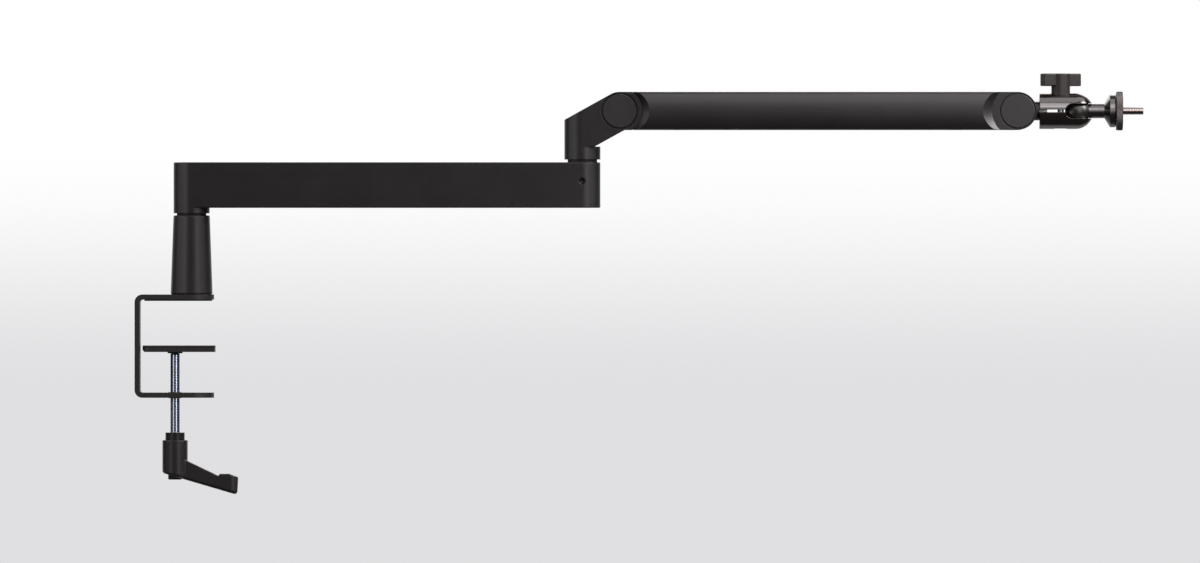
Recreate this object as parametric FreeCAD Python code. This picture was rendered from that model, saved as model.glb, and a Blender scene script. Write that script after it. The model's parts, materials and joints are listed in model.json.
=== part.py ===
import FreeCAD, Part
import math
import os

# Low desk-clamped microphone boom arm, in millimetres.
# Z is up, X runs along the arm towards the microphone, and the origin is the middle of the
# upper jaw pad's underside, on the axis of the riser.

# Fits and clearances
running_fit = 0.05
press_fit = 0.01
part_gap = 0.3
seat_gap = 0.1

# Clamp frame
plate_thickness = 4.0
clamp_width = 35.0
clamp_depth = 40.0
clamp_throat = 72.3
clamp_bend = 2.0
jaw_pad_thickness = 1.0
jaw_pad_margin = 1.5

# Clamp screw, its nut and the pressure foot
screw_setback = 12.9
screw_diameter = 8.0
screw_free_length = 61.65
nut_diameter = 10.4
nut_stand = 0.35
desk_gap = 34.7
foot_front = 18.3
foot_spine_gap = 2.1
foot_corner = 5.0
foot_chamfer = 1.6
foot_pad_thickness = 1.5
foot_plate_thickness = 3.5
cup_diameter = 11.7
cup_height = 1.05
tip_diameter = 5.0
tip_head_diameter = 7.5
tip_head_height = 1.2

# Ratchet lever
insert_neck_diameter = 15.0
insert_neck_height = 5.9
insert_shank_diameter = 10.6
insert_depth = 13.0
insert_screw_depth = 6.5
insert_tap_depth = 3.9
tooth_count = 12
tooth_root = 0.5
tooth_depth = 0.8
tooth_height = 3.8
tooth_gap = 0.15
lever_hub_diameter = 19.7
lever_groove_drop = 3.8
lever_groove = 0.4
lever_web_gap = 1.0
lever_web_thickness = 2.0
lever_arm_reach = 49.2
lever_arm_width = 12.0
lever_top_drop = 11.5
lever_top_slope = 25.7
lever_bottom_drop = 28.4
lever_bottom_slope = 16.4
lever_pad_start = 34.0
lever_pad_end = 41.9
lever_pad_rise = 1.7
lever_pad_step = 0.6
lever_tip_fall = 2.7
lever_tip_setback = 0.8
lever_edge_radius = 2.2
lever_screw_diameter = 5.0
lever_screw_head_diameter = 10.7
lever_screw_head_height = 7.2
lever_screw_socket = 4.0
lever_screw_socket_depth = 2.4
lever_screw_end_gap = 0.26
spring_length = 7.5
spring_wire = 1.2
spring_turns = 3

# Riser and base swivel
riser_height = 61.5
riser_bottom_diameter = 32.6
riser_top_diameter = 28.2
riser_bottom_edge = 1.2
riser_top_edge = 0.8
riser_bolt_diameter = 6.0
riser_bolt_head_diameter = 12.0
riser_bolt_head_height = 3.0
riser_bolt_grip = 16.0
riser_bolt_socket = 4.0
riser_bolt_socket_depth = 1.8
spigot_diameter = 12.0
spigot_grip = 22.0
spigot_stand = 30.0
spigot_chamfer = 1.0
bush_wall = 2.0
bore_relief = 1.0
washer_diameter = 23.0
base_washer_thickness = 1.7
elbow_washer_thickness = 2.2

# Lower arm
lower_arm_pitch = 304.0
lower_arm_width = 28.0
lower_arm_height = 35.4
lower_arm_edge = 0.8
boss_height = 4.2
channel_wall = 3.0
channel_end_margin = 22.0
cover_thickness = 2.0
cover_lip_height = 6.0
cover_lip_thickness = 1.4
cable_mouth = 12.0
grub_diameter = 5.0
grub_recess = 1.3
grub_countersink = 0.3
grub_socket = 2.5
grub_socket_depth = 2.2
grub_drop = 14.7

# Elbow
elbow_offset = 29.0
elbow_rise = 37.75
elbow_post_height = 10.0
elbow_slope = 29.0
elbow_width = 28.0
elbow_spigot_grip = 20.0

# Friction hinges at the elbow and at the tip
hinge_half_height = 14.75
tongue_thickness = 13.0
tongue_inset = 0.55
tongue_gap = 0.6
elbow_cheek_margin = 2.95
hinge_pin_diameter = 8.0
hinge_head_diameter = 13.0
hinge_head_height = 3.0
hinge_bush_wall = 2.0
hinge_nut_flats = 13.0
friction_washer_diameter = 19.0
friction_washer_thickness = 1.0
cap_margin = 1.5
cap_gap = 1.0
cap_thickness = 1.8
cap_chamfer = 0.4

# Upper arm
upper_arm_pitch = 309.5
beam_mid_width = 39.6
beam_edge_width = 33.6
beam_corner = 2.5
beam_roof = 3.0
beam_wall = 2.8
beam_channel_margin = 42.0
elbow_scoop_gap = 0.3
elbow_scoop_flare = 5.1
tip_scoop_gap = 5.45
tip_scoop_flare = 7.1

# Tip knuckle and ball head
neck_root = 10.65
head_gap = 2.2
head_length = 42.2
head_diameter = 28.1
head_rim = 0.5
head_slot = 2.1
notch_gap = 0.3
stud_diameter = 8.0
stud_grip = 6.05
ball_diameter = 20.0
ball_shift = 1.8
knob_to_ball = 13.3
knob_screw_diameter = 5.0
knob_nut_flats = 8.0
knob_nut_height = 4.0
knob_nut_recess = 0.4
nut_seat_diameter = 10.7
nut_seat_depth = 0.8
knob_hub_diameter = 14.6
hub_seat_depth = 2.1
knob_rise = 5.3
knob_bar_length = 31.4
knob_bar_width = 8.6
knob_bar_height = 9.8
knob_bar_edge = 1.0
knob_angle = 22.0
knob_screw_cover = 3.1

# Microphone stem
stem_diameter = 11.2
stem_reach = 20.6
stem_shank_diameter = 6.0
stem_shank_grip = 8.5
flange_diameter = 25.4
flange_cone = 4.4
flange_rim = 4.4
flange_edge = 0.6
thread_diameter = 6.35
thread_relief = 1.15
thread_grip = 12.0
thread_stand = 21.6
thread_chamfer = 0.8
ring_diameter = 30.2
ring_thickness = 5.2
ring_gap = 0.4

# Sizes that follow from the ones above
tooth_inner_radius = insert_shank_diameter / 2 + tooth_root
tooth_outer_radius = tooth_inner_radius + tooth_depth
lever_web_depth = insert_depth + lever_web_gap
bush_diameter = spigot_diameter + 2 * bush_wall
fork_slot = tongue_thickness + 2 * friction_washer_thickness + 4 * running_fit
tongue_radius = hinge_half_height - tongue_inset
slot_radius = tongue_radius + tongue_gap
cap_diameter = 2 * (hinge_half_height - cap_margin)
elbow_cheek_radius = hinge_half_height + elbow_cheek_margin
elbow_scoop_radius = elbow_cheek_radius + elbow_scoop_gap
tip_scoop_radius = hinge_half_height + tip_scoop_gap
beam_channel_width = beam_edge_width - 2 * beam_wall
neck_diameter = fork_slot - 2 * part_gap
head_radius = head_diameter / 2
head_notch = stem_diameter + 2 * notch_gap

# Heights worked out from the sizes above
frame_top = jaw_pad_thickness + plate_thickness
lower_plate_top = jaw_pad_thickness - clamp_throat
lower_plate_bottom = lower_plate_top - plate_thickness
foot_plate_top = -desk_gap - foot_pad_thickness
foot_plate_bottom = foot_plate_top - foot_plate_thickness
cup_bottom = foot_plate_bottom - cup_height
insert_top = cup_bottom - screw_free_length
lever_top = insert_top - insert_neck_height
lever_web_bottom = lever_top - lever_web_depth - lever_web_thickness
lever_screw_head_top = lever_web_bottom - spring_length
riser_top = frame_top + riser_height
boss_bottom = riser_top + base_washer_thickness
arm_bottom = boss_bottom + boss_height
arm_top = arm_bottom + lower_arm_height
elbow_bottom = arm_top + elbow_washer_thickness
hinge_z = elbow_bottom + elbow_rise
head_top = hinge_z + head_radius
head_bottom = hinge_z - head_radius
knob_hub_bottom = head_top - hub_seat_depth + seat_gap
knob_bar_bottom = head_top + knob_rise
knob_top = knob_bar_bottom + knob_bar_height
knob_nut_bottom = head_bottom + knob_nut_recess
knob_nut_top = knob_nut_bottom + knob_nut_height

# Places along the arm
screw_x = -screw_setback
foot_back_x = -clamp_depth + foot_spine_gap
swivel_x = lower_arm_pitch
hinge_x = swivel_x + elbow_offset
tip_x = hinge_x + upper_arm_pitch
head_x = tip_x + hinge_half_height + head_gap
head_end_x = head_x + head_length - head_radius
ball_x = head_end_x + ball_shift
notch_x = ball_x - ball_diameter / 2 + head_notch / 2
knob_x = ball_x - knob_to_ball
stem_end_x = ball_x + stem_reach
flange_x = stem_end_x + flange_cone
flange_end_x = flange_x + flange_rim
ring_x = flange_end_x + ring_gap
thread_end_x = flange_end_x + thread_stand

# Widths of the hinges across Y
cheek_outer = elbow_width / 2
cheek_inner = fork_slot / 2
cap_seat = cheek_outer - cap_thickness
pin_seat = cap_seat - hinge_head_height - seat_gap

UP = FreeCAD.Vector(0, 0, 1)
ALONG = FreeCAD.Vector(1, 0, 0)
ACROSS = FreeCAD.Vector(0, 1, 0)


class Outline:
    """A closed outline of straight and round edges, in the XZ, XY or YZ plane."""

    planes = {
        "XZ": lambda u, v: FreeCAD.Vector(u, 0, v),
        "XY": lambda u, v: FreeCAD.Vector(u, v, 0),
        "YZ": lambda u, v: FreeCAD.Vector(0, u, v),
    }

    def __init__(self, plane, u, v):
        self.place = self.planes[plane]
        self.first = (u, v)
        self.here = (u, v)
        self.edges = []

    def line(self, u, v):
        start = self.place(*self.here)
        end = self.place(u, v)
        self.edges.append(Part.LineSegment(start, end).toShape())
        self.here = (u, v)
        return self

    def lines(self, *points):
        for u, v in points:
            self.line(u, v)
        return self

    def arc(self, through_u, through_v, u, v):
        start = self.place(*self.here)
        middle = self.place(through_u, through_v)
        end = self.place(u, v)
        self.edges.append(Part.Arc(start, middle, end).toShape())
        self.here = (u, v)
        return self

    def close(self):
        if self.here != self.first:
            self.line(*self.first)
        return Part.Face(Part.Wire(self.edges))

    def prism(self, direction, start, end):
        face = self.close()
        face.translate(direction * start)
        return face.extrude(direction * (end - start))

    def turned(self):
        """The outline in XZ, with X as radius, turned about Z."""
        return self.close().revolve(FreeCAD.Vector(0, 0, 0), UP, 360)


def at(x, y, z):
    return FreeCAD.Vector(x, y, z)


def cylinder_z(diameter, x, bottom, top):
    return Part.makeCylinder(diameter / 2, top - bottom, at(x, 0, bottom), UP)


def cylinder_y(diameter, x, z, near, far):
    return Part.makeCylinder(diameter / 2, far - near, at(x, near, z), ACROSS)


def cylinder_x(diameter, z, left, right):
    return Part.makeCylinder(diameter / 2, right - left, at(left, 0, z), ALONG)


def block(x0, x1, y0, y1, z0, z1):
    return Part.makeBox(x1 - x0, y1 - y0, z1 - z0, at(x0, y0, z0))


def hexagon(flats, base, axis, height):
    """A six-sided prism, two of whose corners lie across the axis."""
    radius = flats / math.sqrt(3)
    corners = []
    for index in range(7):
        angle = math.radians(60 * index)
        corners.append(at(radius * math.cos(angle), radius * math.sin(angle), 0))
    prism = Part.Face(Part.makePolygon(corners)).extrude(UP * height)
    prism.Placement = FreeCAD.Placement(base, FreeCAD.Rotation(UP, axis))
    return prism


def plan_with_round_end(width, back, margin):
    """A plate seen from above: square at the back, a half circle about the riser axis in front."""
    radius = width / 2 - margin
    outline = Outline("XY", back, -radius)
    outline.line(0, -radius)
    outline.arc(radius, 0, 0, radius)
    outline.line(back, radius)
    return outline


def stadium(width, length):
    """A plan with two round ends, about X = 0 and X = length."""
    radius = width / 2
    outline = Outline("XY", 0, -radius)
    outline.line(length, -radius)
    outline.arc(length + radius, 0, length, radius)
    outline.line(0, radius)
    outline.arc(-radius, 0, 0, -radius)
    return outline


def edges_at_height(shape, height):
    """Edges that lie in the level plane at this height."""
    found = []
    for edge in shape.Edges:
        box = edge.BoundBox
        if abs(box.ZMin - height) < 1e-6 and abs(box.ZMax - height) < 1e-6:
            found.append(edge)
    return found


# Desk clamp

def clamp_frame():
    back = -clamp_depth - plate_thickness
    outer_bend = clamp_bend + plate_thickness
    front = clamp_width / 2
    bend_middle = 1 - math.sqrt(0.5)
    outline = Outline("XZ", front, frame_top)
    outline.line(back + outer_bend, frame_top)
    outline.arc(back + outer_bend * bend_middle, frame_top - outer_bend * bend_middle,
                back, frame_top - outer_bend)
    outline.line(back, lower_plate_bottom + outer_bend)
    outline.arc(back + outer_bend * bend_middle, lower_plate_bottom + outer_bend * bend_middle,
                back + outer_bend, lower_plate_bottom)
    outline.lines((front, lower_plate_bottom), (front, lower_plate_top))
    outline.line(-clamp_depth + clamp_bend, lower_plate_top)
    outline.arc(-clamp_depth + clamp_bend * bend_middle, lower_plate_top + clamp_bend * bend_middle,
                -clamp_depth, lower_plate_top + clamp_bend)
    outline.line(-clamp_depth, jaw_pad_thickness - clamp_bend)
    outline.arc(-clamp_depth + clamp_bend * bend_middle, jaw_pad_thickness - clamp_bend * bend_middle,
                -clamp_depth + clamp_bend, jaw_pad_thickness)
    outline.line(front, jaw_pad_thickness)
    strip = outline.prism(ACROSS, -clamp_width / 2, clamp_width / 2)
    plan = plan_with_round_end(clamp_width, back, 0).prism(UP, lower_plate_bottom, frame_top)
    frame = strip.common(plan)
    nut_hole = cylinder_z(nut_diameter + 2 * press_fit, screw_x, lower_plate_bottom, lower_plate_top)
    return frame.cut(nut_hole).cut(riser_bolt_space())


def riser_bolt_profile(gap):
    """Countersunk bolt, from the plate's underside up into the riser."""
    head_radius = riser_bolt_head_diameter / 2 + gap
    shank_radius = riser_bolt_diameter / 2 + gap
    head_top = riser_bolt_head_height + gap
    outline = Outline("XZ", 0, 0)
    outline.lines((head_radius, 0), (shank_radius, head_top))
    outline.lines((shank_radius, plate_thickness + riser_bolt_grip + gap))
    outline.line(0, plate_thickness + riser_bolt_grip + gap)
    bolt = outline.turned()
    bolt.translate(at(0, 0, jaw_pad_thickness))
    return bolt


def riser_bolt():
    socket = hexagon(riser_bolt_socket, at(0, 0, jaw_pad_thickness), UP, riser_bolt_socket_depth)
    return riser_bolt_profile(0).cut(socket)


def riser_bolt_space():
    return riser_bolt_profile(press_fit)


def jaw_pad():
    back = -clamp_depth + clamp_bend + jaw_pad_margin
    return plan_with_round_end(clamp_width, back, jaw_pad_margin).prism(UP, 0, jaw_pad_thickness)


def clamp_nut():
    bottom = lower_plate_bottom - nut_stand
    top = lower_plate_top + nut_stand
    collar = cylinder_z(nut_diameter, screw_x, bottom, top)
    return collar.cut(cylinder_z(screw_diameter + 2 * running_fit, screw_x, bottom, top))


# Pressure foot and clamp screw

def foot_plan():
    """The foot from above: rounded corners towards the spine, square in front."""
    half = clamp_width / 2
    back = foot_back_x
    bend_middle = foot_corner * (1 - math.sqrt(0.5))
    outline = Outline("XY", foot_front, -half)
    outline.line(foot_front, half)
    outline.line(back + foot_corner, half)
    outline.arc(back + bend_middle, half - bend_middle, back, half - foot_corner)
    outline.line(back, -half + foot_corner)
    outline.arc(back + bend_middle, -half + bend_middle, back + foot_corner, -half)
    return outline


def pressure_plate():
    plate = foot_plan().prism(UP, foot_plate_bottom, foot_plate_top)
    bevel = Outline("XZ", foot_back_x, foot_plate_bottom)
    bevel.line(foot_back_x + foot_chamfer, foot_plate_bottom)
    bevel.line(foot_back_x, foot_plate_bottom + foot_chamfer)
    plate = plate.cut(bevel.prism(ACROSS, -clamp_width / 2, clamp_width / 2))
    pocket_bottom = foot_plate_top - tip_head_height - seat_gap
    hole = cylinder_z(tip_diameter + 2 * running_fit, screw_x, foot_plate_bottom, foot_plate_top)
    pocket = cylinder_z(tip_head_diameter + 2 * part_gap, screw_x, pocket_bottom, foot_plate_top)
    return plate.cut(hole).cut(pocket)


def pressure_pad():
    return foot_plan().prism(UP, foot_plate_top, -desk_gap)


def plate_swivel_cup():
    cup = cylinder_z(cup_diameter, screw_x, cup_bottom, foot_plate_bottom)
    return cup.cut(cylinder_z(tip_diameter + 2 * running_fit, screw_x, cup_bottom, foot_plate_bottom))


def clamp_screw():
    head_bottom = foot_plate_top - tip_head_height
    shoulder = cup_bottom - seat_gap
    end = lever_top - insert_screw_depth
    body = cylinder_z(screw_diameter, screw_x, end, shoulder)
    tip = cylinder_z(tip_diameter, screw_x, shoulder, head_bottom)
    head = cylinder_z(tip_head_diameter, screw_x, head_bottom, foot_plate_top - seat_gap)
    return body.fuse([tip, head]).removeSplitter()


# Ratchet lever

def toothed_prism(gap, bottom, top):
    """Ring of pointed teeth that keys the lever to its insert."""
    points = []
    for index in range(2 * tooth_count):
        radius = tooth_outer_radius if index % 2 == 0 else tooth_inner_radius
        angle = math.pi * index / tooth_count
        reach = radius + gap
        points.append(at(screw_x + reach * math.cos(angle), reach * math.sin(angle), bottom))
    points.append(points[0])
    return Part.Face(Part.makePolygon(points)).extrude(UP * (top - bottom))


def lever_insert():
    end = lever_top - insert_depth
    neck = cylinder_z(insert_neck_diameter, screw_x, lever_top, insert_top)
    teeth = toothed_prism(0, lever_top - tooth_height, lever_top)
    shank = cylinder_z(insert_shank_diameter, screw_x, end, lever_top)
    insert = neck.fuse([teeth, shank]).removeSplitter()
    bore = cylinder_z(screw_diameter + 2 * press_fit, screw_x, lever_top - insert_screw_depth, insert_top)
    tapped = cylinder_z(lever_screw_diameter + 2 * press_fit, screw_x, end, end + insert_tap_depth)
    return insert.cut(bore).cut(tapped)


def lever_slope_z(distance):
    """Height of the lever's underside at this distance from the screw axis."""
    return lever_top - lever_bottom_drop - distance * math.tan(math.radians(lever_bottom_slope))


def lever_arm():
    """Sloping arm with a raised thumb pad and a rounded end."""
    fall = math.tan(math.radians(lever_top_slope))
    pad_z = lever_top - lever_top_drop - lever_pad_start * fall + lever_pad_rise
    pad_foot_z = pad_z - lever_pad_rise
    tip_low = lever_arm_reach - lever_tip_setback
    outline = Outline("XZ", screw_x, lever_top - lever_top_drop)
    outline.line(screw_x + lever_pad_start, pad_foot_z)
    outline.line(screw_x + lever_pad_start + lever_pad_step, pad_z)
    outline.line(screw_x + lever_pad_end, pad_z)
    outline.line(screw_x + lever_arm_reach, pad_z - lever_tip_fall)
    outline.line(screw_x + tip_low, lever_slope_z(tip_low))
    outline.line(screw_x, lever_slope_z(0))
    half = lever_arm_width / 2
    side = outline.prism(ACROSS, -half, half)
    plan = Outline("XY", screw_x, -half)
    plan.line(screw_x + lever_arm_reach - half, -half)
    plan.arc(screw_x + lever_arm_reach, 0, screw_x + lever_arm_reach - half, half)
    plan.line(screw_x, half)
    return side.common(plan.prism(UP, lever_slope_z(lever_arm_reach), lever_top))


def lever_hub():
    radius = lever_hub_diameter / 2
    outline = Outline("XZ", screw_x - radius, lever_top)
    outline.lines((screw_x + radius, lever_top), (screw_x + radius, lever_slope_z(radius)))
    outline.line(screw_x - radius, lever_slope_z(-radius))
    side = outline.prism(ACROSS, -radius, radius)
    return side.common(cylinder_z(lever_hub_diameter, screw_x, lever_slope_z(radius), lever_top))


def lever_underside_edges(shape):
    """Edges of the sloping underside."""
    found = []
    for edge in shape.Edges:
        points = [edge.valueAt(edge.FirstParameter), edge.valueAt(edge.LastParameter)]
        points.append(edge.valueAt((edge.FirstParameter + edge.LastParameter) / 2))
        if all(abs(point.z - lever_slope_z(point.x - screw_x)) < 1e-5 for point in points):
            found.append(edge)
    return found


def lever_handle():
    handle = lever_hub().fuse(lever_arm()).removeSplitter()
    handle = handle.makeFillet(lever_edge_radius, lever_underside_edges(handle))
    keyed = toothed_prism(tooth_gap, lever_top - tooth_height, lever_top)
    web_top = lever_top - lever_web_depth
    well = cylinder_z(2 * tooth_outer_radius + 2 * part_gap, screw_x, web_top, lever_top - tooth_height)
    shank_hole = cylinder_z(lever_screw_diameter + 2 * part_gap, screw_x, lever_web_bottom, web_top)
    low = lever_slope_z(lever_hub_diameter)
    head_bore = cylinder_z(lever_screw_head_diameter + 2 * part_gap, screw_x, low, lever_web_bottom)
    groove_top = lever_top - lever_groove_drop
    groove = flat_ring(lever_hub_diameter, lever_hub_diameter - 2 * lever_groove, screw_x,
                       groove_top - lever_groove, groove_top)
    return handle.cut(keyed).cut(well).cut(shank_hole).cut(head_bore).cut(groove)


def lever_screw():
    head_bottom = lever_screw_head_top - lever_screw_head_height
    top = lever_top - insert_depth + insert_tap_depth - lever_screw_end_gap
    head = cylinder_z(lever_screw_head_diameter, screw_x, head_bottom, lever_screw_head_top)
    shank = cylinder_z(lever_screw_diameter, screw_x, lever_screw_head_top, top)
    screw = head.fuse(shank).removeSplitter()
    socket = hexagon(lever_screw_socket, at(screw_x, 0, head_bottom), UP, lever_screw_socket_depth)
    return screw.cut(socket)


def lever_spring():
    """Helical spring between the web in the lever and the head of its screw."""
    radius = (lever_screw_head_diameter - spring_wire) / 2
    rise = spring_length - spring_wire - 2 * seat_gap
    helix = Part.makeHelix(rise / spring_turns, rise, radius)
    start = at(radius, 0, 0)
    slope = at(0, 2 * math.pi * radius, rise / spring_turns)
    ring = Part.Wire(Part.makeCircle(spring_wire / 2, start, slope))
    coil = Part.Wire(helix.Edges).makePipeShell([ring], True, True)
    coil.translate(at(screw_x, 0, lever_screw_head_top + spring_wire / 2 + seat_gap))
    return coil


# Riser and base swivel

def riser_column():
    outline = Outline("XZ", 0, frame_top)
    outline.lines((riser_bottom_diameter / 2, frame_top), (riser_top_diameter / 2, riser_top))
    outline.line(0, riser_top)
    column = outline.turned()
    column = column.makeFillet(riser_bottom_edge, edges_at_height(column, frame_top))
    column = column.makeFillet(riser_top_edge, edges_at_height(column, riser_top))
    socket = cylinder_z(spigot_diameter + 2 * press_fit, 0, riser_top - spigot_grip, riser_top)
    return column.cut(socket).cut(riser_bolt_space())


def riser_spigot():
    return chamfered_pin(0, riser_top - spigot_grip, boss_bottom + spigot_stand)


def chamfered_pin(x, bottom, top):
    """Upright pin with both ends chamfered."""
    pin = cylinder_z(spigot_diameter, x, bottom, top)
    ends = edges_at_height(pin, bottom) + edges_at_height(pin, top)
    return pin.makeChamfer(spigot_chamfer, ends)


def flat_ring(outer, inner, x, bottom, top):
    return cylinder_z(outer, x, bottom, top).cut(cylinder_z(inner, x, bottom, top))


def base_washer():
    return flat_ring(washer_diameter, spigot_diameter + 2 * running_fit, 0, riser_top, boss_bottom)


def base_bush():
    inner = spigot_diameter + 2 * running_fit
    return flat_ring(bush_diameter, inner, 0, boss_bottom, boss_bottom + spigot_stand)


# Lower arm

def bush_bore(x, bottom, top):
    return cylinder_z(bush_diameter + 2 * press_fit, x, bottom, top)


def lower_arm_body():
    bar = stadium(lower_arm_width, lower_arm_pitch).prism(UP, arm_bottom, arm_top)
    rims = edges_at_height(bar, arm_bottom) + edges_at_height(bar, arm_top)
    bar = bar.makeFillet(lower_arm_edge, rims)
    boss = cylinder_z(lower_arm_width, 0, boss_bottom, arm_bottom + lower_arm_edge)
    body = bar.fuse(boss).removeSplitter()
    half = lower_arm_width / 2 - channel_wall
    channel = block(channel_end_margin, lower_arm_pitch - channel_end_margin, -half, half,
                    arm_bottom, arm_top - channel_wall)
    base_bore = bush_bore(0, boss_bottom, boss_bottom + spigot_stand + bore_relief)
    elbow_bore = bush_bore(swivel_x, arm_top - spigot_stand - bore_relief, arm_top)
    grub_hole = cylinder_y(grub_diameter + 2 * press_fit, swivel_x, arm_top - grub_drop,
                           -lower_arm_width / 2, 0)
    face = at(swivel_x, -lower_arm_width / 2, arm_top - grub_drop)
    rim = grub_diameter / 2 + grub_countersink
    sink = Part.makeCone(rim, grub_diameter / 2, grub_countersink, face, ACROSS)
    return body.cut(channel).cut(base_bore).cut(elbow_bore).cut(grub_hole).cut(sink)


def channel_cover(start, end, width, bottom):
    """Snap-in strip with a lip along each side, flush with the underside of its arm."""
    half = width / 2 - seat_gap
    strip = block(start, end, -half, half, bottom, bottom + cover_thickness)
    lips = []
    for side in (-1, 1):
        inner = side * (half - cover_lip_thickness)
        low = min(inner, side * half)
        lips.append(block(start, end, low, low + cover_lip_thickness, bottom, bottom + cover_lip_height))
    return strip.fuse(lips).removeSplitter()


def lower_cable_cover():
    start = channel_end_margin + cable_mouth
    end = lower_arm_pitch - channel_end_margin - cable_mouth
    return channel_cover(start, end, lower_arm_width - 2 * channel_wall, arm_bottom)


def arm_grub_screw():
    inner = -bush_diameter / 2 - seat_gap
    outer = -lower_arm_width / 2 + grub_recess
    z = arm_top - grub_drop
    screw = cylinder_y(grub_diameter, swivel_x, z, outer, inner)
    return screw.cut(hexagon(grub_socket, at(swivel_x, outer, z), ACROSS, grub_socket_depth))


def elbow_bush():
    inner = spigot_diameter + 2 * running_fit
    return flat_ring(bush_diameter, inner, swivel_x, arm_top - spigot_stand, arm_top)


def elbow_washer():
    return flat_ring(washer_diameter, spigot_diameter + 2 * running_fit, swivel_x, arm_top, elbow_bottom)


# Friction hinges, each about a Y axis at hinge height

def pin_space(x):
    """Room for the hinge pin, its head, its nut and the two caps in a fork."""
    shank = cylinder_y(hinge_pin_diameter + 2 * press_fit, x, hinge_z, -cheek_outer, cheek_outer)
    nut_room = hinge_nut_flats * 2 / math.sqrt(3) + 2 * part_gap
    cap_room = cap_diameter + 2 * cap_gap
    spaces = [
        cylinder_y(nut_room, x, hinge_z, -cheek_outer, -pin_seat),
        cylinder_y(nut_room, x, hinge_z, pin_seat, cheek_outer),
        cylinder_y(cap_room, x, hinge_z, -cheek_outer, -cap_seat),
        cylinder_y(cap_room, x, hinge_z, cap_seat, cheek_outer),
    ]
    return shank.fuse(spaces)


def hinge_pin(x):
    head_outer = -cap_seat + seat_gap
    head = cylinder_y(hinge_head_diameter, x, hinge_z, head_outer, -pin_seat)
    shank = cylinder_y(hinge_pin_diameter, x, hinge_z, -pin_seat, cap_seat - seat_gap)
    return head.fuse(shank).removeSplitter()


def hinge_nut(x):
    nut = hexagon(hinge_nut_flats, at(x, pin_seat, hinge_z), ACROSS, hinge_head_height)
    hole = cylinder_y(hinge_pin_diameter + 2 * press_fit, x, hinge_z, pin_seat, cap_seat)
    return nut.cut(hole)


def friction_washers(x):
    inner = tongue_thickness / 2 + running_fit
    outer = cheek_inner - running_fit
    hole = hinge_pin_diameter + 2 * running_fit
    washers = []
    for start in (inner, -outer):
        disc = cylinder_y(friction_washer_diameter, x, hinge_z, start, start + outer - inner)
        washers.append(disc.cut(cylinder_y(hole, x, hinge_z, start, start + outer - inner)))
    return Part.makeCompound(washers)


def hinge_bush_size():
    return hinge_pin_diameter + 2 * running_fit + 2 * hinge_bush_wall


def hinge_bush(x):
    half = tongue_thickness / 2
    bush = cylinder_y(hinge_bush_size(), x, hinge_z, -half, half)
    return bush.cut(cylinder_y(hinge_pin_diameter + 2 * running_fit, x, hinge_z, -half, half))


def bush_hole(x):
    half = tongue_thickness / 2
    return cylinder_y(hinge_bush_size() + 2 * press_fit, x, hinge_z, -half, half)


def hinge_cap(x, side):
    """Disc over one end of the hinge pin, with its outer rim chamfered."""
    outer = side * cheek_outer
    near = min(outer, side * cap_seat)
    disc = cylinder_y(cap_diameter, x, hinge_z, near, near + cap_thickness)
    rim = []
    for edge in disc.Edges:
        box = edge.BoundBox
        if abs(box.YMin - outer) < 1e-6 and abs(box.YMax - outer) < 1e-6:
            rim.append(edge)
    return disc.makeChamfer(cap_chamfer, rim)


# Elbow

def elbow_outline():
    """Side view of the slanted link with its round hinge end."""
    slope = math.tan(math.radians(elbow_slope))
    lift = hinge_half_height / math.cos(math.radians(elbow_slope))
    back = swivel_x - elbow_width / 2
    shelf = elbow_bottom + elbow_post_height
    top = hinge_z + hinge_half_height
    bottom = hinge_z - hinge_half_height
    turn = math.radians(elbow_slope)
    reach = hinge_half_height
    bottom_corner = hinge_x - (hinge_half_height - lift) / slope
    cheek_end = math.sqrt(elbow_cheek_radius ** 2 - hinge_half_height ** 2)
    outline = Outline("XZ", back, shelf)
    outline.line(back, hinge_z + lift + (back - hinge_x) * slope)
    outline.line(hinge_x - reach * math.sin(turn), hinge_z + reach * math.cos(turn))
    outline.arc(hinge_x - reach * math.sin(turn / 2), hinge_z + reach * math.cos(turn / 2), hinge_x, top)
    outline.line(hinge_x + cheek_end, top)
    outline.arc(hinge_x + elbow_cheek_radius, hinge_z, hinge_x + cheek_end, bottom)
    outline.line(bottom_corner, bottom)
    outline.line(hinge_x + (shelf - hinge_z + lift) / slope, shelf)
    return outline


def elbow_fork_slot():
    """Room for the tongue from level to upright."""
    far = elbow_cheek_radius + part_gap
    room = cylinder_y(2 * slot_radius, hinge_x, hinge_z, -cheek_inner, cheek_inner)
    ahead = block(hinge_x, hinge_x + far, -cheek_inner, cheek_inner, hinge_z - slot_radius, hinge_z + far)
    above = block(hinge_x - slot_radius, hinge_x, -cheek_inner, cheek_inner, hinge_z, hinge_z + far)
    return room.fuse([ahead, above])


def elbow_body():
    half = elbow_width / 2
    link = elbow_outline().prism(ACROSS, -half, half)
    far = hinge_x + elbow_cheek_radius
    plan = Outline("XY", swivel_x, -half)
    plan.lines((far, -half), (far, half), (swivel_x, half))
    plan.arc(swivel_x - half, 0, swivel_x, -half)
    link = link.common(plan.prism(UP, elbow_bottom, hinge_z + hinge_half_height))
    post = cylinder_z(elbow_width, swivel_x, elbow_bottom, elbow_bottom + elbow_post_height)
    body = link.fuse(post).removeSplitter()
    socket = cylinder_z(spigot_diameter + 2 * press_fit, swivel_x, elbow_bottom,
                        elbow_bottom + elbow_spigot_grip)
    return body.cut(elbow_fork_slot()).cut(pin_space(hinge_x)).cut(socket)


def elbow_spigot():
    bottom = arm_top - spigot_stand
    return chamfered_pin(swivel_x, bottom, elbow_bottom + elbow_spigot_grip)


# Upper arm

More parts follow.
